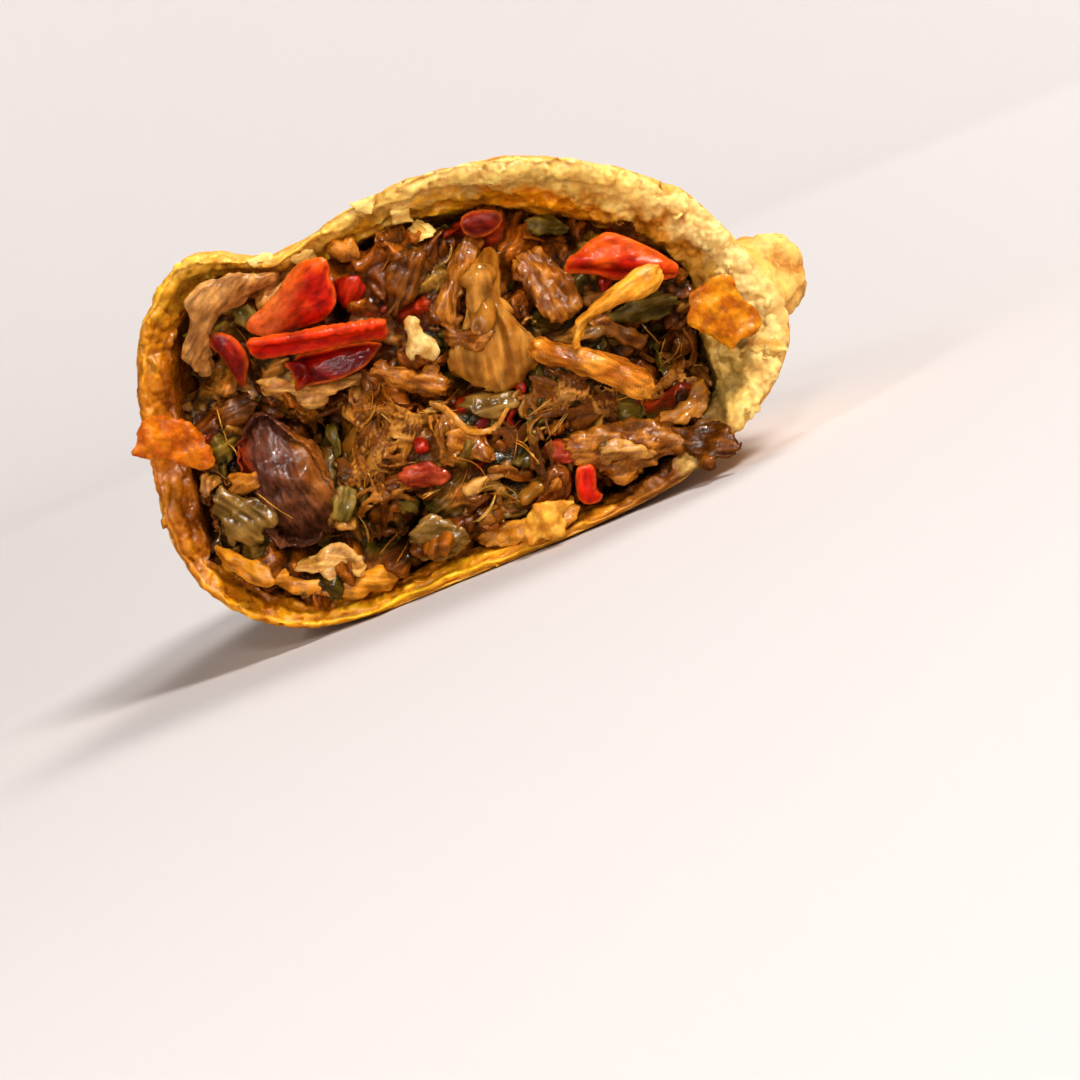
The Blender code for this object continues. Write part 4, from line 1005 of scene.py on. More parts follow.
# Red peppers
# Roasted red pepper keeps its taut, shining skin on one side and a softer flesh side, lighter in colour.
# The strip is folded along its length, the slab's corner has rolled over, and the rest are plain cuts.
PEPPERS = {
    # node: outline in x and z, thickness, dome, edge softness, deep colour, bright colour of the painted
    # sheen, wrinkle
    "pepper_wedge": (((-10.4, 40.3), (-9.4, 38.9), (-10.2, 37.4), (-10.1, 35.9), (-11.0, 34.2),
        (-13.7, 33.2), (-19.6, 34.2), (-21.3, 34.9), (-21.9, 36.0), (-20.6, 37.0), (-18.0, 37.6),
        (-15.9, 38.7), (-14.0, 39.9), (-12.1, 40.5)), 1.5, 0.9, 0.8, (0.4, 0.01, 0.002),
        (0.72, 0.11, 0.006), 0.4),
    "pepper_strip": (((-21.6, 34.6), (-18.1, 34.0), (-13.0, 32.8), (-8.0, 31.6), (-6.3, 30.7),
        (-6.6, 28.8), (-8.6, 29.5), (-13.8, 30.6), (-18.0, 31.5), (-22.0, 32.5)), 1.4, 0.4, 0.4,
        (0.38, 0.006, 0.001), (0.66, 0.036, 0.004), 0.14),
    "pepper_slab": (((-17.4, 31.2), (-15.1, 30.7), (-7.5, 28.8), (-9.3, 27.4), (-11.0, 26.7),
        (-14.6, 26.6), (-18.0, 27.4), (-18.9, 28.6), (-18.6, 30.2)), 1.2, 0.6, 0.8, (0.12, 0.002, 0.001),
        (0.27, 0.006, 0.001), 0.32),
    "pepper_drop": (((-25.4, 37.2), (-23.7, 36.4), (-22.7, 34.2), (-22.9, 32.4), (-23.9, 31.1),
        (-24.7, 29.7), (-25.2, 31.2), (-25.4, 34.0), (-26.1, 35.7)), 1.2, 0.9, 0.7, (0.13, 0.004, 0.002),
        (0.3, 0.014, 0.004), 0.3),
    "pepper_corner": (((16.4, 29.4), (18.8, 30.2), (20.5, 30.3), (22.7, 28.4), (24.5, 26.3), (26.0, 24.0),
        (25.8, 22.4), (23.7, 22.8), (21.9, 24.1), (19.0, 24.7), (17.8, 26.0), (16.3, 26.9), (14.0, 27.9),
        (14.6, 28.9)), 1.4, 0.9, 0.8, (0.38, 0.012, 0.002), (0.62, 0.08, 0.004), 0.34),
    "pepper_crown": (((5.6, 38.1), (7.3, 38.3), (10.2, 36.9), (9.6, 35.4), (7.6, 34.9), (5.9, 35.3),
        (4.9, 36.8)), 1.0, 0.6, 0.7, (0.08, 0.004, 0.002), (0.21, 0.016, 0.004), 0.35),
    "pepper_bit": (((7.2, 7.6), (9.2, 6.9), (8.8, 5.4), (8.2, 4.2), (8.9, 3.0), (7.4, 2.7), (6.3, 3.0),
        (5.9, 4.0), (6.2, 5.7)), 1.0, 0.4, 0.4, (0.5, 0.012, 0.002), (0.74, 0.05, 0.004), 0.22),
}


def pepper_fold(name, own):
    """How far a pepper's front stands out by its own folds, in mm, from its along and across coordinates."""
    along, across = own[:, 0], own[:, 1]
    if name == "pepper_strip":
        ridge = 0.75 * np.exp(-((across - 0.75) / 0.45) ** 2) + 0.45 * np.exp(-((across + 1.0) / 0.3) ** 2)
        ribs = 0.16 * np.sin(along * 5.6) * ramp(along, 2.0, 5.0) * ramp(across, -0.4, 0.4)
        return ridge + ribs
    if name == "pepper_slab":
        roll = np.hypot((along + 3.9) / 1.7, (across + 0.4) / 1.2)
        return 1.1 * np.exp(-((roll - 0.9) / 0.28) ** 2) * ramp(-along, 1.0, 2.6)
    if name == "pepper_wedge":
        return 0.5 * np.exp(-((across - 0.35 * along + 0.4) / 0.8) ** 2)
    if name == "pepper_corner":
        return 0.5 * np.exp(-((across - 0.2) / 0.9) ** 2) - 0.35 * np.exp(-((across + 1.2) / 0.5) ** 2)
    return np.zeros(len(own))


WRINKLE_SIZE = 0.85
WRINKLE_HEIGHT = 0.11
PEPPER_DRYNESS = 0.16
CUT_EDGE_COLOUR = (0.80, 0.17, 0.02)
BROWNED_COLOUR = (0.62, 0.150, 0.030)
pepper_gloss = wet_material(
    "pepper_skin", gloss=0.45, fibre=(0.4, 1.8), depth=0.00014, under=0.2, spread=0.34, beads=1500.0)
for index, (name, (outline, thickness, dome, soft, deep, bright, wrinkle)) in enumerate(PEPPERS.items()):
    mesh, points, normals, own, edge = laid_piece(
        seat_of(name), outline, thickness, dome, soft, corners_cut=1)
    crease = waves(own, 2.4, 60 + index, 2, stretch=(2.0, 0.7, 1.0))
    fine = waves(own, WRINKLE_SIZE, 75 + index, 2, stretch=(1.8, 0.8, 1.0))
    facing = ramp(-normals[:, 1], 0.0, 0.6)
    move = wrinkle * crease * (0.3 + 0.7 * facing) + facing * (pepper_fold(name, own) + WRINKLE_HEIGHT * fine)
    set_points(mesh, points + normals * move[:, None])
    # Painted sheen: each piece is brighter towards one side. Its fine wrinkles are painted lighter on their
    # crests and darker in their hollows, as painted shade.
    painted_sheen = ramp(waves(points, 3.0, 90 + index) + 0.8 * own[:, 1] / np.abs(own[:, 1]).max(), -0.4, 0.8)
    tone = mixed(mixed(deep, bright, painted_sheen), CUT_EDGE_COLOUR, 0.5 * (1 - ramp(edge, 0.0, 0.5)))
    tone *= (1 + 0.45 * fine)[:, None]
    if name == "pepper_wedge":
        tone = mixed(tone, BROWNED_COLOUR, 0.75 * ramp(-points[:, 0] + 0.6 * own[:, 1], 12.5, 18.0))
    store(mesh, "tone", np.clip(tone, 0, 1))
    store(mesh, "dryness", np.full(len(points), PEPPER_DRYNESS))
    store_grain(mesh, own)
    finished(mesh, "red_" + name, [name], [pepper_gloss])


# Roasted pork and onion
# A pale curl, a baton and an amber strip, all pulled along the grain so that their ends are frayed, and one
# petal of onion, folded, that has gone soft and clear.
CUTS = {
    # node: piece, outline, thickness, dome, edge softness, deep colour, light colour, lump, grain depth,
    # grain width and dryness
    "pork_curl": ("pale_curl", ((-15.6, 40.4), (-18.0, 41.2), (-19.7, 42.1), (-21.8, 42.5), (-23.9, 42.3),
        (-26.2, 41.4), (-26.3, 39.8), (-27.2, 38.3), (-28.6, 37.0), (-29.2, 35.0), (-28.7, 33.0),
        (-27.2, 32.6), (-26.7, 34.6), (-25.7, 36.6), (-24.3, 38.2), (-23.1, 38.7), (-21.2, 38.7),
        (-19.4, 39.4), (-16.4, 39.2)), 1.6, 1.1, 1.0, (0.3, 0.12, 0.026), (0.54, 0.27, 0.075), 0.3, 0.07,
        0.4, 0.36),
    "pork_baton": ("long_baton", ((11.0, 20.9), (12.6, 19.8), (15.4, 17.9), (17.8, 15.6), (18.9, 14.1),
        (18.4, 12.3), (17.3, 11.6), (15.6, 12.7), (14.0, 14.8), (11.9, 16.8), (9.6, 18.6), (7.4, 20.6),
        (7.9, 22.6), (9.4, 22.4)), 2.0, 1.3, 0.9, (0.32, 0.09, 0.005), (0.6, 0.24, 0.026), 0.35, 0.16, 0.4,
        0.2),
    "yellow_strip": ("amber_strip", ((23.6, 25.2), (24.4, 24.2), (23.9, 22.9), (22.4, 22.1), (20.2, 22.2),
        (18.1, 22.5), (16.3, 22.4), (14.9, 22.1), (13.8, 21.0), (12.9, 19.7), (12.3, 20.2), (13.3, 22.0),
        (14.0, 23.2), (16.1, 23.7), (18.2, 24.2), (20.3, 24.9), (22.1, 25.4)), 1.1, 0.8, 0.6,
        (0.48, 0.17, 0.01), (0.7, 0.32, 0.035), 0.15, 0.07, 0.5, 0.18),
    "onion_slice": ("soft_onion", ((4.6, 32.6), (7.2, 32.4), (6.8, 30.0), (6.6, 27.4), (7.0, 25.4),
        (7.9, 23.0), (8.6, 21.1), (7.9, 19.4), (6.0, 18.9), (4.0, 17.9), (2.0, 18.6), (0.3, 19.9),
        (-1.3, 21.4), (-2.4, 22.9), (-1.2, 24.2), (0.4, 26.2), (2.2, 27.4), (3.2, 30.0)), 1.2, 0.9, 0.8,
        (0.26, 0.095, 0.009), (0.52, 0.25, 0.045), 0.5, 0.1, 1.0, 0.12),
}
ONION_FOLDS = (0.34, 1.9)


def dress_cut(mesh, points, normals, own, looks, index, shade=1.0):
    """Lumps, grain along the length, and a colour that follows both, partly the grain's own streaks and
    partly painted shade, multiplied by shade, which is painted shade too.
    """
    deep, light, lump, depth, width, dry = looks
    lumps = waves(points, 2.8, 100 + index)
    grain = waves(own, width, 110 + index, 2, stretch=(6.0, 1.0, 1.5))
    move = lump * lumps + depth * grain * 1.6
    set_points(mesh, points + normals * move[:, None])
    # Painted shade: lighter where the lumps and grain stand out and darker where they sink, partly the
    # grain's own streaks.
    store(mesh, "tone", mixed(deep, light, ramp(grain + 0.7 * lumps, -0.6, 0.8)) * shade)
    store(mesh, "dryness", np.full(len(points), dry))
    store_grain(mesh, own)


def tone_of(mesh):
    """The colour of each point of a mesh."""
    flat = np.empty(len(mesh.vertices) * 4, np.float32)
    mesh.attributes["tone"].data.foreach_get("color", flat)
    return flat.reshape(-1, 4)[:, :3]


cut_gloss = wet_material("roasted_cut", gloss=0.2)
for index, (name, (title, outline, thickness, dome, soft, *looks)) in enumerate(CUTS.items()):
    mesh, points, normals, own, edge = laid_piece(seat_of(name), outline, thickness, dome, soft, 3)
    if name == "onion_slice":
        across = own[:, 1] + 0.6 * waves(points, 4.0, 150)
        points[:, 1] -= ONION_FOLDS[0] * np.sin(across * ONION_FOLDS[1]) * ramp(edge, 0.0, 1.2)
    points = frayed(points, own, edge, 0.7 if name == "onion_slice" else 0.4, 140 + index)
    dress_cut(mesh, points, normals, own, looks, index)
    finished(mesh, title, [name], [onion_gloss if name == "onion_slice" else cut_gloss])


# Dark chunks of the roast
# Two chunks from the outside of the roast, nearly black where the heat was strongest. The knife left flat
# faces on them, and their lower ends are lumpy and plum-coloured.
CHUNK_LOBES = 3.6
CHUNK_FACES = 5
PLUM = (0.105, 0.032, 0.019)
RUST = (0.300, 0.040, 0.006)
FLANK = (0.260, 0.085, 0.009)
CHUNKS = {
    # node: piece, outline, thickness, dome, edge softness, deep colour, light colour, lump, grain depth,
    # grain width and dryness
    "meat_chunk": ("dark_chunk", ((-26.3, 25.8), (-24.6, 26.7), (-23.2, 26.2), (-22.1, 24.6),
        (-21.5, 22.9), (-20.2, 21.6), (-19.6, 19.2), (-19.9, 17.9), (-19.9, 15.1), (-20.2, 12.9),
        (-22.1, 11.0), (-24.8, 10.8), (-27.4, 11.9), (-28.3, 14.0), (-28.9, 17.9), (-28.9, 20.5),
        (-28.6, 22.1), (-27.6, 24.0)), 4.0, 1.4, 0.7, (0.062, 0.02, 0.007), (0.19, 0.064, 0.02), 0.5, 0.24,
        0.35, 0.3),
    "meat_chunk_low": ("dark_chunk_low", ((-32.6, 19.4), (-30.4, 19.8), (-28.9, 18.0), (-28.9, 14.6),
        (-30.0, 12.2), (-32.0, 11.9), (-33.6, 14.0), (-33.7, 17.2)), 3.0, 1.0, 1.0, (0.11, 0.055, 0.007),
        (0.26, 0.14, 0.026), 0.7, 0.16, 0.4, 0.16),
}


def cut_faces(own, reach, seed):
    """How far a chunk's front is cut back by flat faces at random slopes, in mm."""
    chance = np.random.default_rng(seed)
    cut = np.zeros(len(own))
    for turn in np.linspace(0, 2 * math.pi, CHUNK_FACES, endpoint=False):
        turn += chance.uniform(-0.3, 0.3)
        run = own[:, 0] * math.cos(turn) + own[:, 1] * math.sin(turn)
        cut = np.maximum(cut, chance.uniform(0.4, 0.9) * (run - chance.uniform(-0.2, 0.5) * reach))
    return cut


for index, (name, (title, outline, thickness, dome, soft, *looks)) in enumerate(CHUNKS.items()):
    mesh, points, normals, own, edge = laid_piece(seat_of(name), outline, thickness, dome, soft, 2, 0.3, 1)
    points = frayed(points, own, edge, 0.5, 174 + index, 2.0)
    low = ramp(-points[:, 2], -20.5, -16.5)
    lobes = knobs(points, CHUNK_LOBES, 160 + index) * low
    points += normals * (0.9 * lobes - 0.4 * low)[:, None]
    points[:, 1] += cut_faces(own, 4.0, 164 + index) * ramp(-normals[:, 1], 0.0, 0.5)
    dress_cut(mesh, points, normals, own, looks, 10 + index)
    if name == "meat_chunk":
        rust = ramp(-points[:, 0], 26.2, 27.6) * ramp(points[:, 2], 19.0, 22.0)
        flank = ramp(points[:, 0], -22.6, -21.0) * ramp(points[:, 2], 13.0, 16.0)
        plum = (1 - 0.7 * low) * (1 - 0.5 * ramp(waves(points, 2.0, 170), -0.2, 0.4))
        tone = mixed(tone_of(mesh), PLUM, plum * 0.8)
        tone = mixed(tone, RUST, rust * 0.85)
        tone = mixed(tone, FLANK, flank * 0.8)
        mesh.attributes.remove(mesh.attributes["tone"])
        store(mesh, "tone", tone)
    finished(mesh, title, [name], [cut_gloss])


# Flakes of crust
# Leaves of baked dough that broke off. Two took up the orange oil of the filling, two stayed pale and dry.
# Their edges are broken, and their faces are buckled and pitted.
FLAKES = {
    # node: piece, outline, deep colour, light colour, dryness
    "orange_flake": ("oiled_flake", ((-35.6, 31.0), (-34.6, 31.3), (-32.4, 30.3), (-30.9, 28.9),
        (-30.4, 27.6), (-30.0, 25.8), (-29.9, 24.2), (-30.3, 23.3), (-31.4, 23.1), (-32.2, 23.4),
        (-34.0, 25.0), (-35.4, 26.1), (-38.0, 27.4), (-38.6, 28.3), (-37.2, 28.9), (-36.8, 30.2)),
        (0.42, 0.09, 0.001), (0.64, 0.19, 0.003), 0.24),
    "side_flake": ("oiled_flake_right", ((30.2, 21.4), (31.4, 20.4), (31.1, 18.3), (32.4, 16.0),
        (32.5, 14.2), (30.9, 13.2), (29.5, 13.7), (28.3, 12.5), (27.4, 13.7), (26.5, 15.3), (25.2, 16.4),
        (24.6, 17.9), (25.7, 19.0), (26.0, 20.5), (28.0, 20.8)), (0.4, 0.105, 0.001), (0.62, 0.235, 0.005),
        0.2),
    "crumb_flake": ("dry_crumb", ((-3.7, 30.5), (-2.7, 29.8), (-3.0, 28.0), (-2.0, 26.9), (-1.7, 25.4),
        (-2.9, 24.4), (-3.9, 25.2), (-4.4, 26.2), (-5.0, 25.3), (-5.7, 25.9), (-5.2, 27.4), (-4.4, 28.3),
        (-4.6, 29.6)), (0.46, 0.24, 0.05), (0.72, 0.48, 0.17), 0.5),
    "base_flake": ("dry_flake_low", ((1.6, 5.6), (4.2, 4.9), (6.2, 4.1), (4.0, 3.5), (3.7, 1.9),
        (3.4, 0.9), (1.5, 0.9), (0.4, 1.7), (-0.3, 1.1), (-1.2, 1.1), (-1.3, 2.7), (0.1, 4.7)),
        (0.56, 0.21, 0.012), (0.82, 0.42, 0.055), 0.4),
}
FLAKE_FORM = {"thickness": 0.8, "dome": 0.3, "soft": 0.8, "smoothing": 1, "voxel": 0.22, "corners_cut": 1}
flake_finish = wet_material(
    "flake_of_crust", gloss=0.3, fibre=(0.6, 1.6), depth=0.00018, under=0.25, spread=0.28)
for index, (name, (title, outline, deep, light, dry)) in enumerate(FLAKES.items()):
    mesh, points, normals, own, edge = laid_piece(seat_of(name), outline, **FLAKE_FORM)
    buckle = 0.7 * waves(points, 3.6, 128 + index) + 0.16 * waves(points, 1.1, 132 + index, 2)
    pits = 1 - ramp(cells(points, 1.3, 126 + index), 0.1, 0.35)
    points = points + normals * (0.12 * waves(points, 0.7, 134 + index) - 0.16 * pits)[:, None]
    points[:, 1] += buckle
    points = frayed(points, own, edge, 0.2, 120 + index, 1.0)
    set_points(mesh, points)
    store(mesh, "tone", mixed(deep, light, ramp(waves(points, 1.6, 136 + index, 3), -0.4, 0.5)))
    store(mesh, "dryness", np.full(len(points), dry))
    store_grain(mesh, own)
    finished(mesh, title, [name], [flake_finish])


# Smaller pieces
# Between the large ones lie torn scraps of pork, petals of onion, green chilli, tomato and crust. Each one
# rests on what lies behind it, the heap, the torn dough or a larger piece, and leans as that does.
SCRAP_KINDS = {
    # kind: slot, thickness, dome, edge softness, fray, deep colour, light colour, lump, grain depth, grain
    # width and dryness
    "pork": ("shred", 0.8, 0.6, 0.8, 0.8, (0.17, 0.046, 0.003), (0.44, 0.165, 0.015), 0.5, 0.2, 0.35, 0.3),
    "pale_pork": ("pale_meat", 1.1, 0.8, 0.8, 0.5, (0.34, 0.13, 0.022), (0.62, 0.32, 0.08), 0.4, 0.16,
        0.45, 0.26),
    "brown_pork": ("dark_meat", 0.9, 0.7, 0.8, 0.9, (0.07, 0.02, 0.002), (0.22, 0.07, 0.005), 0.65, 0.22,
        0.4, 0.28),
    "onion": ("onion", 0.8, 0.9, 1.0, 0.3, (0.2, 0.07, 0.005), (0.38, 0.16, 0.018), 0.45, 0.08, 0.9, 0.1),
    "chilli": ("filling", 0.7, 0.5, 0.7, 0.5, (0.085, 0.056, 0.006), (0.23, 0.15, 0.028), 0.6, 0.2, 0.5,
        0.16),
    "soft_skin": ("onion", 0.7, 0.6, 0.8, 0.5, (0.12, 0.06, 0.008), (0.28, 0.155, 0.034), 0.6, 0.16, 0.6,
        0.12),
    "tomato": ("red_pepper", 0.7, 0.4, 0.5, 0.5, (0.24, 0.02, 0.005), (0.44, 0.075, 0.02), 0.45, 0.18, 0.4,
        0.18),
    "red": ("red_pepper", 0.6, 0.4, 0.5, 0.2, (0.2, 0.006, 0.002), (0.44, 0.026, 0.004), 0.3, 0.1, 0.6,
        0.16),
    "soaked_dough": ("pastry", 0.9, 0.5, 0.9, 0.6, (0.36, 0.12, 0.005), (0.62, 0.25, 0.018), 0.5, 0.16,
        0.7, 0.18),
    "torn_dough": ("pale_crumb", 0.6, 0.4, 0.9, 0.6, (0.36, 0.15, 0.02), (0.72, 0.42, 0.12), 0.7, 0.18,
        0.5, 0.34),
    "leaf": ("oiled_crumb", 0.6, 0.3, 0.9, 0.4, (0.38, 0.13, 0.007), (0.64, 0.27, 0.024), 0.5, 0.14, 0.6,
        0.34),
    "pale_leaf": ("pale_crumb", 0.5, 0.2, 0.8, 0.4, (0.6, 0.31, 0.06), (0.86, 0.6, 0.2), 0.35, 0.14, 0.6,
        0.45),
}
STUCK_ON_CUTS = ("onion_mass", "onion_ribbon", "fibre_hook", "golden_bit")
SCRAPS = {
    # piece: kind, how far its middle lies before the surface, outline in x and z
    "torn_frill": ("pork", 0.5, ((5.9, 36.7), (6.9, 35.2), (6.0, 32.6), (3.9, 31.6), (1.1, 28.9),
        (1.7, 25.5), (2.2, 24.0), (0.4, 24.2), (-1.2, 28.4), (-1.9, 30.3), (0.8, 32.3), (3.6, 35.2))),
    "brown_leaf": ("brown_pork", 0.6, ((-3.0, 36.9), (-1.1, 37.3), (1.7, 35.9), (-0.2, 33.5), (-2.8, 32.0),
        (-5.4, 30.6), (-6.7, 30.9), (-4.8, 33.2), (-4.3, 35.2))),
    "top_tuft": ("pork", 0.4, ((-10.2, 40.7), (-6.6, 41.1), (-6.0, 38.1), (-7.3, 37.8), (-8.9, 39.2))),
    "pale_lump": ("pale_pork", 0.4, ((-19.7, 38.3), (-17.9, 39.8), (-15.4, 40.4), (-14.1, 39.6),
        (-14.9, 38.2), (-17.9, 36.6), (-19.6, 37.1))),
    "chilli_roll": ("chilli", 0.4, ((-22.1, 38.7), (-20.3, 38.2), (-19.4, 36.6), (-20.3, 34.8),
        (-21.8, 35.3), (-22.4, 37.2))),
    "long_shred": ("pale_pork", 0.4, ((-23.3, 30.4), (-21.2, 30.1), (-19.3, 27.9), (-15.2, 27.0),
        (-11.0, 26.2), (-11.6, 25.1), (-15.5, 25.5), (-19.0, 24.5), (-21.1, 26.4), (-23.1, 28.4))),
    "amber_frill": ("pork", 0.6, ((-10.3, 26.2), (-7.9, 27.3), (-7.7, 25.8), (-5.9, 24.1), (-2.4, 24.8),
        (-3.1, 23.3), (-2.2, 21.8), (-3.3, 20.1), (-5.6, 20.8), (-8.7, 24.2))),
    "left_stub": ("pork", 0.5, ((-26.7, 32.5), (-24.9, 32.0), (-24.8, 30.5), (-26.3, 29.6),
        (-27.2, 30.0))),
    "brown_lump": ("brown_pork", 0.3, ((-28.2, 30.3), (-26.2, 30.3), (-24.4, 29.2), (-24.6, 27.3),
        (-26.5, 26.2), (-28.6, 26.7), (-29.3, 28.4))),
    "pulled_lump": ("pork", 0.6, ((7.9, 30.5), (11.6, 32.2), (12.9, 30.7), (13.9, 28.6), (15.0, 24.5),
        (13.5, 23.2), (11.3, 22.6), (10.0, 24.7), (9.2, 27.2))),
    "side_shred": ("pork", 0.5, ((14.2, 22.0), (16.5, 21.3), (18.8, 18.7), (19.6, 16.2), (17.8, 17.0),
        (15.9, 19.3))),
    "brown_ledge": ("pork", 0.7, ((6.7, 11.2), (11.3, 10.8), (16.0, 9.0), (18.8, 6.9), (20.2, 4.3),
        (18.9, 3.2), (16.3, 4.6), (13.4, 3.5), (10.5, 3.4), (9.4, 6.1), (7.0, 8.5))),
    "ledge_flame": ("leaf", 0.6, ((17.3, 8.2), (18.0, 9.2), (21.0, 8.8), (22.3, 10.5), (23.5, 10.3),
        (23.8, 8.2), (22.1, 6.7), (19.4, 7.1))),
    "burnt_end": ("brown_pork", 0.6, ((19.2, 6.7), (22.1, 6.7), (24.7, 5.5), (24.7, 3.6), (26.0, 2.7),
        (23.7, 2.0), (22.1, 2.1), (20.8, 1.0), (20.5, 3.1), (18.9, 4.6))),
    "ledge_leaf": ("leaf", 0.5, ((-7.1, 4.0), (-4.8, 4.7), (-1.2, 3.8), (2.1, 3.9), (5.0, 4.6), (5.6, 3.0),
        (4.5, 1.8), (1.0, 1.4), (-2.9, 1.8), (-6.3, 2.5))),
    "torn_leaf": ("torn_dough", 0.9, ((-27.9, 9.0), (-24.5, 9.5), (-20.8, 8.9), (-18.9, 5.7), (-21.2, 5.3),
        (-21.1, 7.5), (-23.5, 5.4), (-25.1, 7.5))),
    "soaked_ledge": ("soaked_dough", 0.6, ((-30.6, 11.4), (-28.6, 8.6), (-26.7, 6.9), (-25.0, 5.8),
        (-21.6, 5.4), (-17.7, 5.2), (-15.9, 3.6), (-17.6, 2.4), (-22.1, 2.9), (-26.2, 4.5), (-29.7, 7.2),
        (-30.9, 9.6))),
    "soaked_corner": ("soaked_dough", 0.5, ((-35.2, 16.0), (-33.8, 13.8), (-31.7, 12.3), (-30.2, 11.2),
        (-29.2, 8.8), (-29.8, 7.8), (-31.3, 8.6), (-33.0, 10.3), (-34.5, 11.8), (-35.4, 13.6))),
    "onion_mass": ("soft_skin", 0.3, ((-31.7, 21.0), (-30.3, 19.8), (-28.9, 18.7), (-27.2, 17.3),
        (-26.5, 15.5), (-27.0, 14.3), (-28.4, 14.2), (-29.5, 13.0), (-30.7, 12.4), (-31.5, 13.9),
        (-32.7, 15.4), (-33.3, 16.9), (-33.4, 19.1))),
    "onion_ribbon": ("onion", 0.2, ((5.7, 33.7), (7.2, 33.9), (8.1, 33.0), (7.5, 31.4), (6.6, 29.5),
        (6.3, 27.5), (4.9, 25.6), (3.4, 24.9), (2.2, 25.8), (2.6, 28.1), (3.5, 30.7), (4.4, 32.4))),
    "fibre_hook": ("pork", 0.3, ((-0.3, 28.3), (0.7, 26.9), (2.0, 26.1), (4.6, 25.8), (5.0, 24.5),
        (2.4, 23.8), (0.2, 24.1), (-0.9, 25.5), (-1.2, 27.0))),
    "golden_bit": ("pork", 0.2, ((-30.3, 21.1), (-29.3, 21.2), (-28.2, 20.6), (-26.8, 20.4), (-26.7, 19.6),
        (-27.8, 19.2), (-29.0, 19.2), (-30.1, 19.4))),
    "onion_bulb": ("soft_skin", 0.5, ((-11.9, 8.7), (-9.5, 8.4), (-7.8, 6.4), (-6.8, 4.3), (-8.9, 3.1),
        (-11.8, 2.8), (-13.5, 4.4), (-14.1, 6.8))),
    "green_die": ("chilli", 0.6, ((-13.2, 11.5), (-11.8, 11.5), (-10.8, 10.2), (-11.7, 9.0),
        (-13.3, 9.4))),
    "tomato_middle": ("tomato", 0.7, ((-11.4, 14.4), (-8.8, 14.7), (-7.0, 13.4), (-6.1, 11.9),
        (-7.7, 11.2), (-10.5, 11.9), (-11.5, 13.2))),
    "tomato_right": ("tomato", 0.7, ((4.7, 10.9), (6.6, 10.9), (8.3, 8.7), (7.8, 7.9), (5.5, 8.3),
        (4.5, 9.4))),
    "red_chip": ("red", 0.9, ((3.5, 19.9), (5.7, 18.2), (4.5, 16.8), (3.9, 18.5))),
    "red_sliver": ("red", 0.5, ((-8.8, 17.9), (-7.3, 16.8), (-7.5, 15.3), (-9.1, 15.3))),
    "red_seed": ("red", 0.7, ((17.0, 25.8), (18.6, 25.9), (18.4, 24.3), (16.7, 24.0))),
    "red_tail": ("red", 0.5, ((-10.6, 37.2), (-8.3, 36.9), (-7.2, 36.0), (-7.4, 34.4), (-9.5, 33.4),
        (-11.1, 33.6))),
    "plum_strip": ("brown_pork", 0.7, ((-15.2, 12.9), (-13.8, 12.1), (-14.2, 10.2), (-15.9, 9.1),
        (-17.6, 9.5), (-16.5, 11.2))),
    "pork_petal": ("pork", 0.7, ((-4.7, 16.6), (-2.2, 16.2), (-1.1, 14.2), (-0.5, 12.0), (-2.2, 11.4),
        (-3.6, 13.6), (-5.1, 14.6))),
    "pork_petal_low": ("pork", 0.7, ((-1.8, 11.4), (-0.2, 10.3), (2.1, 9.2), (2.8, 7.7), (1.1, 7.5),
        (-0.6, 9.0))),
    "pork_petal_right": ("pale_pork", 1.2, ((9.5, 7.7), (12.0, 9.1), (14.8, 6.9), (16.4, 4.7), (14.2, 5.3),
        (12.1, 6.9), (10.1, 6.4))),
    "chilli_ring": ("soft_skin", 0.4, ((-3.0, 18.4), (-1.1, 19.6), (1.3, 19.1), (3.5, 17.6), (4.1, 16.1),
        (1.8, 16.0), (-0.0, 16.2), (-1.7, 17.0))),
    "chilli_top": ("chilli", 0.4, ((11.4, 34.5), (14.1, 35.1), (16.3, 32.9), (16.3, 31.4), (13.8, 32.3),
        (11.8, 32.3))),
    "chilli_left": ("chilli", 0.5, ((-18.2, 22.4), (-16.8, 22.4), (-16.8, 20.4), (-18.1, 18.1),
        (-18.9, 18.2), (-18.6, 20.3))),
    "chilli_middle": ("chilli", 0.5, ((-19.6, 15.1), (-17.9, 15.2), (-17.4, 13.6), (-19.3, 11.2),
        (-20.7, 11.9))),
    "chilli_right": ("chilli", 0.4, ((15.8, 21.3), (19.4, 22.3), (22.9, 21.7), (25.0, 19.9), (22.3, 18.6),
        (18.9, 19.5))),
    "dark_frill": ("brown_pork", 0.3, ((20.6, 31.4), (23.4, 30.6), (23.6, 28.9), (22.6, 27.6),
        (21.3, 29.3))),
    "edge_leaf_notch": ("pale_leaf", 0.1, ((-13.6, 41.6), (-10.9, 41.3), (-11.2, 40.0), (-13.3, 40.2))),
    "edge_leaf_left": ("pale_leaf", 0.1, ((-18.3, 43.0), (-15.9, 42.6), (-15.6, 41.6), (-17.8, 41.7))),
    "edge_leaf_top": ("pale_leaf", 0.3, ((-4.8, 44.3), (-2.2, 43.9), (-3.2, 42.4), (-4.9, 43.2))),
    "crumb_top": ("pale_leaf", 0.3, ((-0.5, 39.4), (1.0, 39.9), (2.3, 37.7), (0.5, 37.0), (-0.7, 37.8))),
    "crumb_top_small": ("pale_leaf", 0.3, ((-1.3, 41.9), (0.7, 41.3), (0.3, 39.8), (-1.5, 40.2))),
    "crumb_side": ("pale_leaf", 0.4, ((30.0, 12.8), (32.5, 13.5), (33.6, 12.1), (34.0, 10.0), (31.2, 10.0),
        (29.8, 11.8))),
}


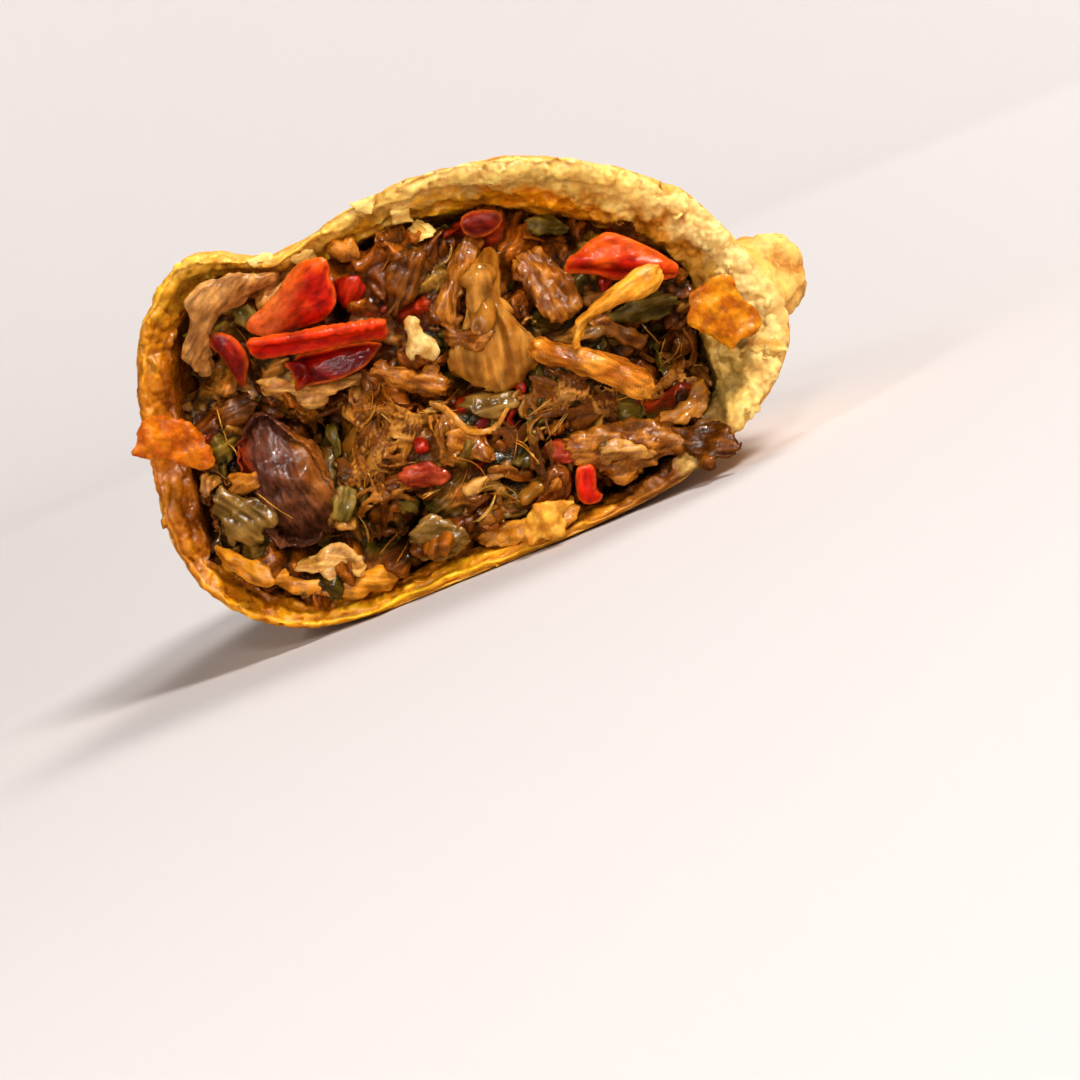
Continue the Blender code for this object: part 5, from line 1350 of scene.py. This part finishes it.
def scrap_mesh(depth, kind, outline, index, turn=(0.0, 0.0)):
    """One scrap of a kind, cut to its outline, frayed, and curled up or down along and across itself."""
    _, thickness, dome, soft, fray, *looks = SCRAP_KINDS[kind]
    cut = 0 if "leaf" in kind else 1
    mesh, points, normals, own, edge = laid_piece(depth, outline, thickness, dome, soft, corners_cut=cut)
    points[:, 1] += 0.6 * waves(own, 2.8, 150 + index) + turn[0] * own[:, 0] ** 2 + turn[1] * own[:, 1] ** 2
    points = frayed(points, own, edge, fray, 200 + 2 * index, 1.2 if "leaf" in kind else 7.0)
    dress_cut(mesh, points, normals, own, looks, 40 + index, hollow_shade(points))
    return mesh


def scrap_gloss(kind):
    return {"onion": onion_gloss, "soft_skin": onion_gloss, "tomato": pepper_gloss, "red": pepper_gloss,
            "leaf": flake_finish, "pale_leaf": flake_finish, "torn_dough": flake_finish}.get(kind, pork_gloss)


heap_tree, crust_tree = tree_of_pieces("pork_heap"), tree_of_pieces("baked_crust")
cut_tree = tree_of_pieces("soft_onion", "dark_chunk", "dark_chunk_low")
for index, (name, (kind, lift, outline)) in enumerate(SCRAPS.items()):
    behind = (heap_tree, crust_tree, cut_tree) if name in STUCK_ON_CUTS else (heap_tree, crust_tree)
    mesh = scrap_mesh(rest_on(behind, outline, lift), kind, outline, index)
    finished(mesh, name, materials=[scrap_gloss(kind)])


# Shredded pork over the heap
# Flat torn scraps of pork, with petals of onion and squares of green chilli among them, lie over each other
# like leaves. Each is turned the way in which its part of the roast was pulled.
SHREDDED = {
    # kind: how many, length in mm, width in mm
    "pork": (26, (2.6, 7.5), (0.8, 1.9)),
    "pale_pork": (4, (2.2, 4.6), (0.8, 1.5)),
    "brown_pork": (22, (2.4, 7.0), (0.9, 2.2)),
    "onion": (12, (2.6, 6.5), (1.2, 2.6)),
    "soft_skin": (8, (2.4, 5.5), (1.2, 2.6)),
    "chilli": (12, (2.0, 4.6), (1.2, 2.4)),
}
LAID_NAMES = ["red_" + name for name in PEPPERS] + [cut[0] for cut in CUTS.values()] + list(SCRAPS)
LAID_NAMES += [chunk[0] for chunk in CHUNKS.values()] + [flake[0] for flake in FLAKES.values()]
SHREDDED_GAP = 2.3
SHREDDED_CURL = 0.16
SHREDDED_LEAN = 0.45
SHREDDED_SEED = 61
OUTLINE_STEPS = 9
PLACES_TRIED = 6000
OPEN_FACE_Y = -17.0


def torn_outline(x, z, heading, length, width, chance):
    """A torn oval round a place, as long as it is told along its heading."""
    corners = []
    for step in range(OUTLINE_STEPS):
        turn = 2 * math.pi * step / OUTLINE_STEPS
        reach = 1 + chance.uniform(-0.26, 0.26)
        along, across = length / 2 * math.cos(turn) * reach, width / 2 * math.sin(turn) * reach
        corners.append((x + along * math.cos(heading) - across * math.sin(heading),
                        z + along * math.sin(heading) + across * math.cos(heading)))
    return corners


def shredded_places(chance):
    """Places on the heap's open face, no two of them too close."""
    laid = tree_of_pieces(*LAID_NAMES)
    low, high = (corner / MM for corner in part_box("filling"))
    places = []
    for _ in range(PLACES_TRIED):
        x, z = chance.uniform(low.x, high.x), chance.uniform(low.z, high.z)
        depth = front_of(heap_tree, x, z)
        covered = front_of(laid, x, z) is not None
        if depth is None or depth > OPEN_FACE_Y or covered:
            continue
        if all((x - a) ** 2 + (z - b) ** 2 > SHREDDED_GAP ** 2 for a, b in places):
            places.append((x, z))
    return places, laid


def make_shredded():
    """Scraps of all kinds in a random order, joined into one piece for each kind."""
    chance = random.Random(SHREDDED_SEED)
    places, laid = shredded_places(chance)
    kinds = [kind for kind, (count, _, _) in SHREDDED.items() for _ in range(count)]
    chance.shuffle(kinds)
    made = {}
    for index, ((x, z), kind) in enumerate(zip(places, kinds)):
        _, lengths, widths = SHREDDED[kind]
        length = lengths[0] + (lengths[1] - lengths[0]) * chance.random() ** 1.6
        width = min(chance.uniform(*widths), length * 0.8)
        heading = pull_heading(x, z) + chance.gauss(0, 0.55)
        outline = torn_outline(x, z, heading, length, width, chance)
        outside = [front_of(laid, *corner) is not None or front_of(heap_tree, *corner) is None
                   for corner in outline]
        if sum(outside) > 1:
            continue
        plane = rest_on((heap_tree,), outline, chance.uniform(0.0, 0.6))
        lean = (chance.uniform(-1, 1) * SHREDDED_LEAN, chance.uniform(-1, 1) * SHREDDED_LEAN)

        def depth(u, v, plane=plane, lean=lean, x=x, z=z):
            return plane(u, v) + lean[0] * (u - x) + lean[1] * (v - z)

        curl = (chance.uniform(-0.3, 1) * SHREDDED_CURL * 0.3, chance.uniform(-1, 1) * SHREDDED_CURL)
        made.setdefault(kind, []).append(scrap_mesh(depth, kind, outline, 60 + index, curl))
    for kind, meshes in made.items():
        mesh = joined(meshes, kind)
        finished(mesh, "shredded_" + kind, materials=[scrap_gloss(kind)])


make_shredded()


# Shreds and threads of pork, and soft ribbons of onion
# Pulled pork comes apart along its grain, into bundles of fibres with frayed ends and threads as fine as
# hair. They lie over the heap in the direction in which it was pulled. The onion is clear, soft ribbons.
STRANDS = {
    # piece: bundles, strands in one, length in mm, radius in mm, flatness, groove, sides, steps, seed, slot
    "pork_shreds": (60, (3, 6), (3.5, 8.5), (0.20, 0.38), 0.60, 0.30, 7, 12, 41, "shred"),
    "onion_ribbons": (9, (1, 1), (4.0, 8.0), (0.45, 0.8), 0.25, 0.16, 12, 16, 43, "onion"),
    "pork_threads": (60, (1, 2), (2.5, 7.0), (0.05, 0.11), 1.0, 0.10, 5, 10, 44, "shred"),
}
STRAND_COLOURS = {
    "pork_shreds": ((0.32, 0.115, 0.010), (0.23, 0.072, 0.005), (0.44, 0.190, 0.030), (0.16, 0.048, 0.003)),
    "onion_ribbons": ((0.26, 0.100, 0.008), (0.12, 0.076, 0.005), (0.34, 0.150, 0.018)),
    "pork_threads": ((0.46, 0.180, 0.016), (0.34, 0.105, 0.006), (0.58, 0.300, 0.055)),
}
CHOSEN_STRANDS = (
    # piece, radius in mm, colour, path in x and z
    ("pork_shreds", 0.55, (0.46, 0.19, 0.022), ((-5.5, 20.4), (-4.5, 18.9), (-3.4, 16.7), (-1.7, 15.5),
        (0.5, 15.3), (2.6, 16.2))),
    ("pork_threads", 0.09, (0.52, 0.23, 0.03), ((-28.5, 28.8), (-28.8, 27.2), (-28.9, 25.0),
        (-28.2, 23.1))),
    ("pork_threads", 0.08, (0.52, 0.23, 0.03), ((-27.6, 18.4), (-26.9, 17.2), (-26.1, 15.7),
        (-25.1, 14.2))),
    ("pork_threads", 0.09, (0.52, 0.23, 0.03), ((-31.5, 22.5), (-30.9, 21.6), (-30.1, 20.6))),
)
STRAND_STEPS = 22
STRAND_LIMIT_Y = -16.0
BEHIND_ALL_Y = -22.0
FUSING_VOXEL = 0.22


def kept_on(tree, geometry, name, value, kind="FLOAT"):
    """Geometry whose points carry a value under a name."""
    given = {"Geometry": geometry, "Name": name, "Value": value}
    kept = node(tree, "GeometryNodeStoreNamedAttribute", given, data_type=kind, domain="POINT")
    return kept.outputs["Geometry"]


def strand_tree(material, sides, flatness, groove):
    """Turns polylines with a breadth and a turn at each point into flat, grooved strands."""
    tree, given = tree_of("strands", {"Flatness": ("Float", flatness), "Groove": ("Float", groove)})
    curve = node(tree, "GeometryNodeMeshToCurve", {"Mesh": given["Mesh"]}).outputs["Curve"]
    curve = kept_on(tree, curve, "along", node(tree, "GeometryNodeSplineParameter").outputs["Length"])
    breadth, turn = stored(tree, "breadth"), stored(tree, "turn")
    curve = node(tree, "GeometryNodeSetCurveNormal", {"Curve": curve}, mode="Z_UP").outputs["Curve"]
    curve = node(tree, "GeometryNodeSetCurveTilt", {"Curve": curve, "Tilt": turn}).outputs["Curve"]
    ring = node(tree, "GeometryNodeCurvePrimitiveCircle", {"Resolution": sides, "Radius": 1.0})
    ring = ring.outputs["Curve"]
    ring = kept_on(tree, ring, "around", node(tree, "GeometryNodeSplineParameter").outputs["Factor"])
    flat = node(tree, "ShaderNodeCombineXYZ", {"X": given["Flatness"], "Y": 1.0, "Z": 1.0}).outputs["Vector"]
    ring = node(tree, "GeometryNodeTransform", {"Geometry": ring, "Scale": flat}).outputs["Geometry"]
    solid = node(tree, "GeometryNodeCurveToMesh", {
        "Curve": curve, "Profile Curve": ring, "Scale": breadth, "Fill Caps": True}).outputs["Mesh"]

    along, spare = stored(tree, "along"), stored(tree, "share")
    angle = maths(tree, "MULTIPLY", stored(tree, "around"), 2 * math.pi)
    across, up = maths(tree, "COSINE", angle), maths(tree, "SINE", angle)
    slow = maths(tree, "MULTIPLY", along, 0.16)
    spot = node(tree, "ShaderNodeCombineXYZ", {"X": slow, "Y": across, "Z": up}).outputs["Vector"]
    wave = node(tree, "ShaderNodeTexNoise", {"Vector": spot, "W": spare, "Scale": 2.8, "Detail": 3.0},
                noise_dimensions="4D").outputs["Fac"]
    depth = maths(tree, "MULTIPLY", maths(tree, "SUBTRACT", wave, 0.5), given["Groove"])
    depth = maths(tree, "MULTIPLY", maths(tree, "MULTIPLY", depth, breadth), 6.0)
    push = scaled(tree, node(tree, "GeometryNodeInputNormal").outputs["Normal"], depth)
    solid = node(tree, "GeometryNodeSetPosition", {"Geometry": solid, "Offset": push}).outputs["Geometry"]
    wide = maths(tree, "MULTIPLY", across, breadth)
    own = node(tree, "ShaderNodeCombineXYZ", {"X": along, "Y": wide, "Z": spare}).outputs["Vector"]
    solid = kept_on(tree, solid, "grain", own, "FLOAT_VECTOR")
    solid = node(tree, "GeometryNodeRealizeInstances", {"Geometry": solid}).outputs["Geometry"]
    dressed(tree, solid, material)
    return tree


def polylines(paths):
    """One mesh of loose polylines. A path holds points, breadths, turns, a colour and a random share."""
    mesh = bpy.data.meshes.new("paths")
    corners, edges, columns = [], [], {"breadth": [], "turn": [], "share": [], "tone": [], "dryness": []}
    for path in paths:
        first = len(corners)
        corners += [tuple(p) for p in path["points"]]
        edges += [(first + k, first + k + 1) for k in range(len(path["points"]) - 1)]
        for name in columns:
            value = path[name]
            of_each_point = np.ndim(value) > (name == "tone")
            columns[name] += list(value) if of_each_point else [value] * len(path["points"])
    mesh.from_pydata(corners, edges, [])
    for name, values in columns.items():
        store(mesh, name, np.array(values, float))
    return mesh


def laid_path(start, heading, length, bend, steps, surfaces, lift):
    """A polyline that lies over the heap, or None where it would leave it or meet a larger piece."""
    heap_tree, laid_tree = surfaces
    x, z = start
    spots, depths = [], []
    for _ in range(steps + 1):
        depth = front_of(heap_tree, x, z)
        if depth is None or depth > STRAND_LIMIT_Y or front_of(laid_tree, x, z) is not None:
            return None
        spots.append((x, z))
        depths.append(depth)
        x += math.cos(heading) * length / steps
        z += math.sin(heading) * length / steps
        heading += bend / steps
    depths = np.array(depths)
    for _ in range(5):
        padded = np.pad(depths, 1, mode="edge")
        depths = np.minimum(depths, (padded[:-2] + padded[2:]) / 2)
    arch = np.sin(np.linspace(0, math.pi, steps + 1))
    depths = depths - lift * arch + 0.3 * (1 - arch)
    return np.array([(x, depth, z) for (x, z), depth in zip(spots, depths)])


def bundle(spine, together, radius, colour, chance, thin_end):
    """Strands that run side by side along one spine and part at its ends."""
    t = np.linspace(0, 1, len(spine))
    run = np.gradient(spine, axis=0)
    side = np.cross(run, (0.0, -1.0, 0.0))
    side /= np.linalg.norm(side, axis=1)[:, None]
    strands = []
    for index in range(together):
        middle = index - (together - 1) / 2
        spread = middle * radius * 1.5 * (1 + chance.uniform(-0.2, 0.5) * (2 * t - 1) ** 2)
        sway = radius * 0.9 * np.sin(t * chance.uniform(3, 8) + chance.uniform(0, 6))
        low, high = sorted((chance.uniform(0, 0.25), chance.uniform(0.75, 1.0)))
        keep = (t >= low) & (t <= high) if together > 1 else t >= 0
        moved = spine + side * (spread + sway)[:, None]
        moved[:, 1] += chance.uniform(-0.35, 0.35) * radius * 2 + radius * 0.6 * abs(middle)
        shade = chance.uniform(0.75, 1.25)
        thick = radius * chance.uniform(0.75, 1.15) * (1 + 0.22 * np.sin(t * chance.uniform(4, 11) + index))
        taper = thin_end + (1 - thin_end) * np.sin(np.pi * np.clip(t, 0.04, 0.96)) ** 0.45
        strands.append({
            "points": moved[keep],
            "breadth": (thick * taper)[keep],
            "turn": (chance.gauss(0, 0.5) + chance.gauss(0, 0.8) * t)[keep],
            "share": chance.uniform(0, 50),
            "tone": tuple(c * shade for c in colour),
            "dryness": chance.uniform(0.16, 0.34),
        })
    return strands


def scattered_strands(kind, surfaces):
    """Seeded strands of one kind over the whole face of the heap."""
    count, together, lengths, radii, _, _, _, steps, seed, _ = STRANDS[kind]
    chance = random.Random(seed)
    low, high = (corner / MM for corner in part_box("filling"))
    strands, tries, made = [], 0, 0
    while made < count and tries < count * 40:
        tries += 1
        x, z = chance.uniform(low.x, high.x), chance.uniform(low.z, high.z)
        spine = laid_path((x, z), pull_heading(x, z) + chance.gauss(0, 0.6), chance.uniform(*lengths),
                          chance.gauss(0, 1.1), steps, surfaces, chance.uniform(0.0, 0.8))
        if spine is None:
            continue
        made += 1
        strands += bundle(spine, chance.randint(*together), chance.uniform(*radii),
                          chance.choice(STRAND_COLOURS[kind]), chance, 0.3)
    return strands


def chosen_strand(path, radius, colour, trees, chance):
    """One strand that follows a path in x and z over whatever lies behind it."""
    steps = np.linspace(0, len(path) - 1, STRAND_STEPS)
    x, z = (np.interp(steps, range(len(path)), [spot[side] for spot in path]) for side in (0, 1))
    for _ in range(2):
        x[1:-1], z[1:-1] = (x[:-2] + 2 * x[1:-1] + x[2:]) / 4, (z[:-2] + 2 * z[1:-1] + z[2:]) / 4
    found = [[d for d in (front_of(tree, a, b) for tree in trees) if d is not None] for a, b in zip(x, z)]
    depth = np.array([min(depths) if depths else BEHIND_ALL_Y for depths in found])
    for _ in range(6):
        padded = np.pad(depth, 1, mode="edge")
        depth = np.minimum(depth, (padded[:-2] + padded[2:]) / 2)
    return bundle(np.column_stack([x, depth - radius * 0.5, z]), 1, radius, colour, chance, 0.4)


def fused(swept):
    """The strands grown together where they touch, with the colours and the grain of the nearest strand."""
    shape = bmesh.new()
    shape.from_mesh(swept)
    made = shaped_mesh(shape, [
        ("REMESH", {"mode": "VOXEL", "voxel_size": FUSING_VOXEL}),
        ("SMOOTH", {"factor": 0.4, "iterations": 1}),
    ])
    shape.free()
    before = KDTree(len(swept.vertices))
    for corner in swept.vertices:
        before.insert(corner.co, corner.index)
    before.balance()
    nearest = np.array([before.find(corner.co)[1] for corner in made.vertices])
    tone = tone_of(swept)
    dryness, grain = np.empty(len(tone), np.float32), np.empty(len(tone) * 3, np.float32)
    swept.attributes["dryness"].data.foreach_get("value", dryness)
    swept.attributes["grain"].data.foreach_get("vector", grain)
    store(made, "tone", tone[nearest])
    store(made, "dryness", dryness[nearest])
    store_grain(made, grain.reshape(-1, 3)[nearest])
    return made


def make_strands(name, strands, material, flatness, groove, sides):
    """One piece of all the strands of a kind, swept by Geometry Nodes."""
    swept = run_tree(strand_tree(material, sides, flatness, groove), polylines(strands))
    return finished(fused(swept) if name == "pork_shreds" else swept, name, materials=[material])


heap_names = ["pork_heap"] + ["shredded_" + kind for kind in SHREDDED]
surfaces = (tree_of_pieces(*heap_names), tree_of_pieces(*LAID_NAMES))
for kind, (_, _, _, _, flatness, groove, sides, _, _, slot) in STRANDS.items():
    strands = scattered_strands(kind, surfaces)
    for owner, radius, colour, path in CHOSEN_STRANDS:
        if owner == kind:
            strands += chosen_strand(path, radius, colour, surfaces, random.Random(len(path)))
    material = onion_gloss if slot == "onion" else pork_gloss
    make_strands(kind, strands, material, flatness, groove, sides)
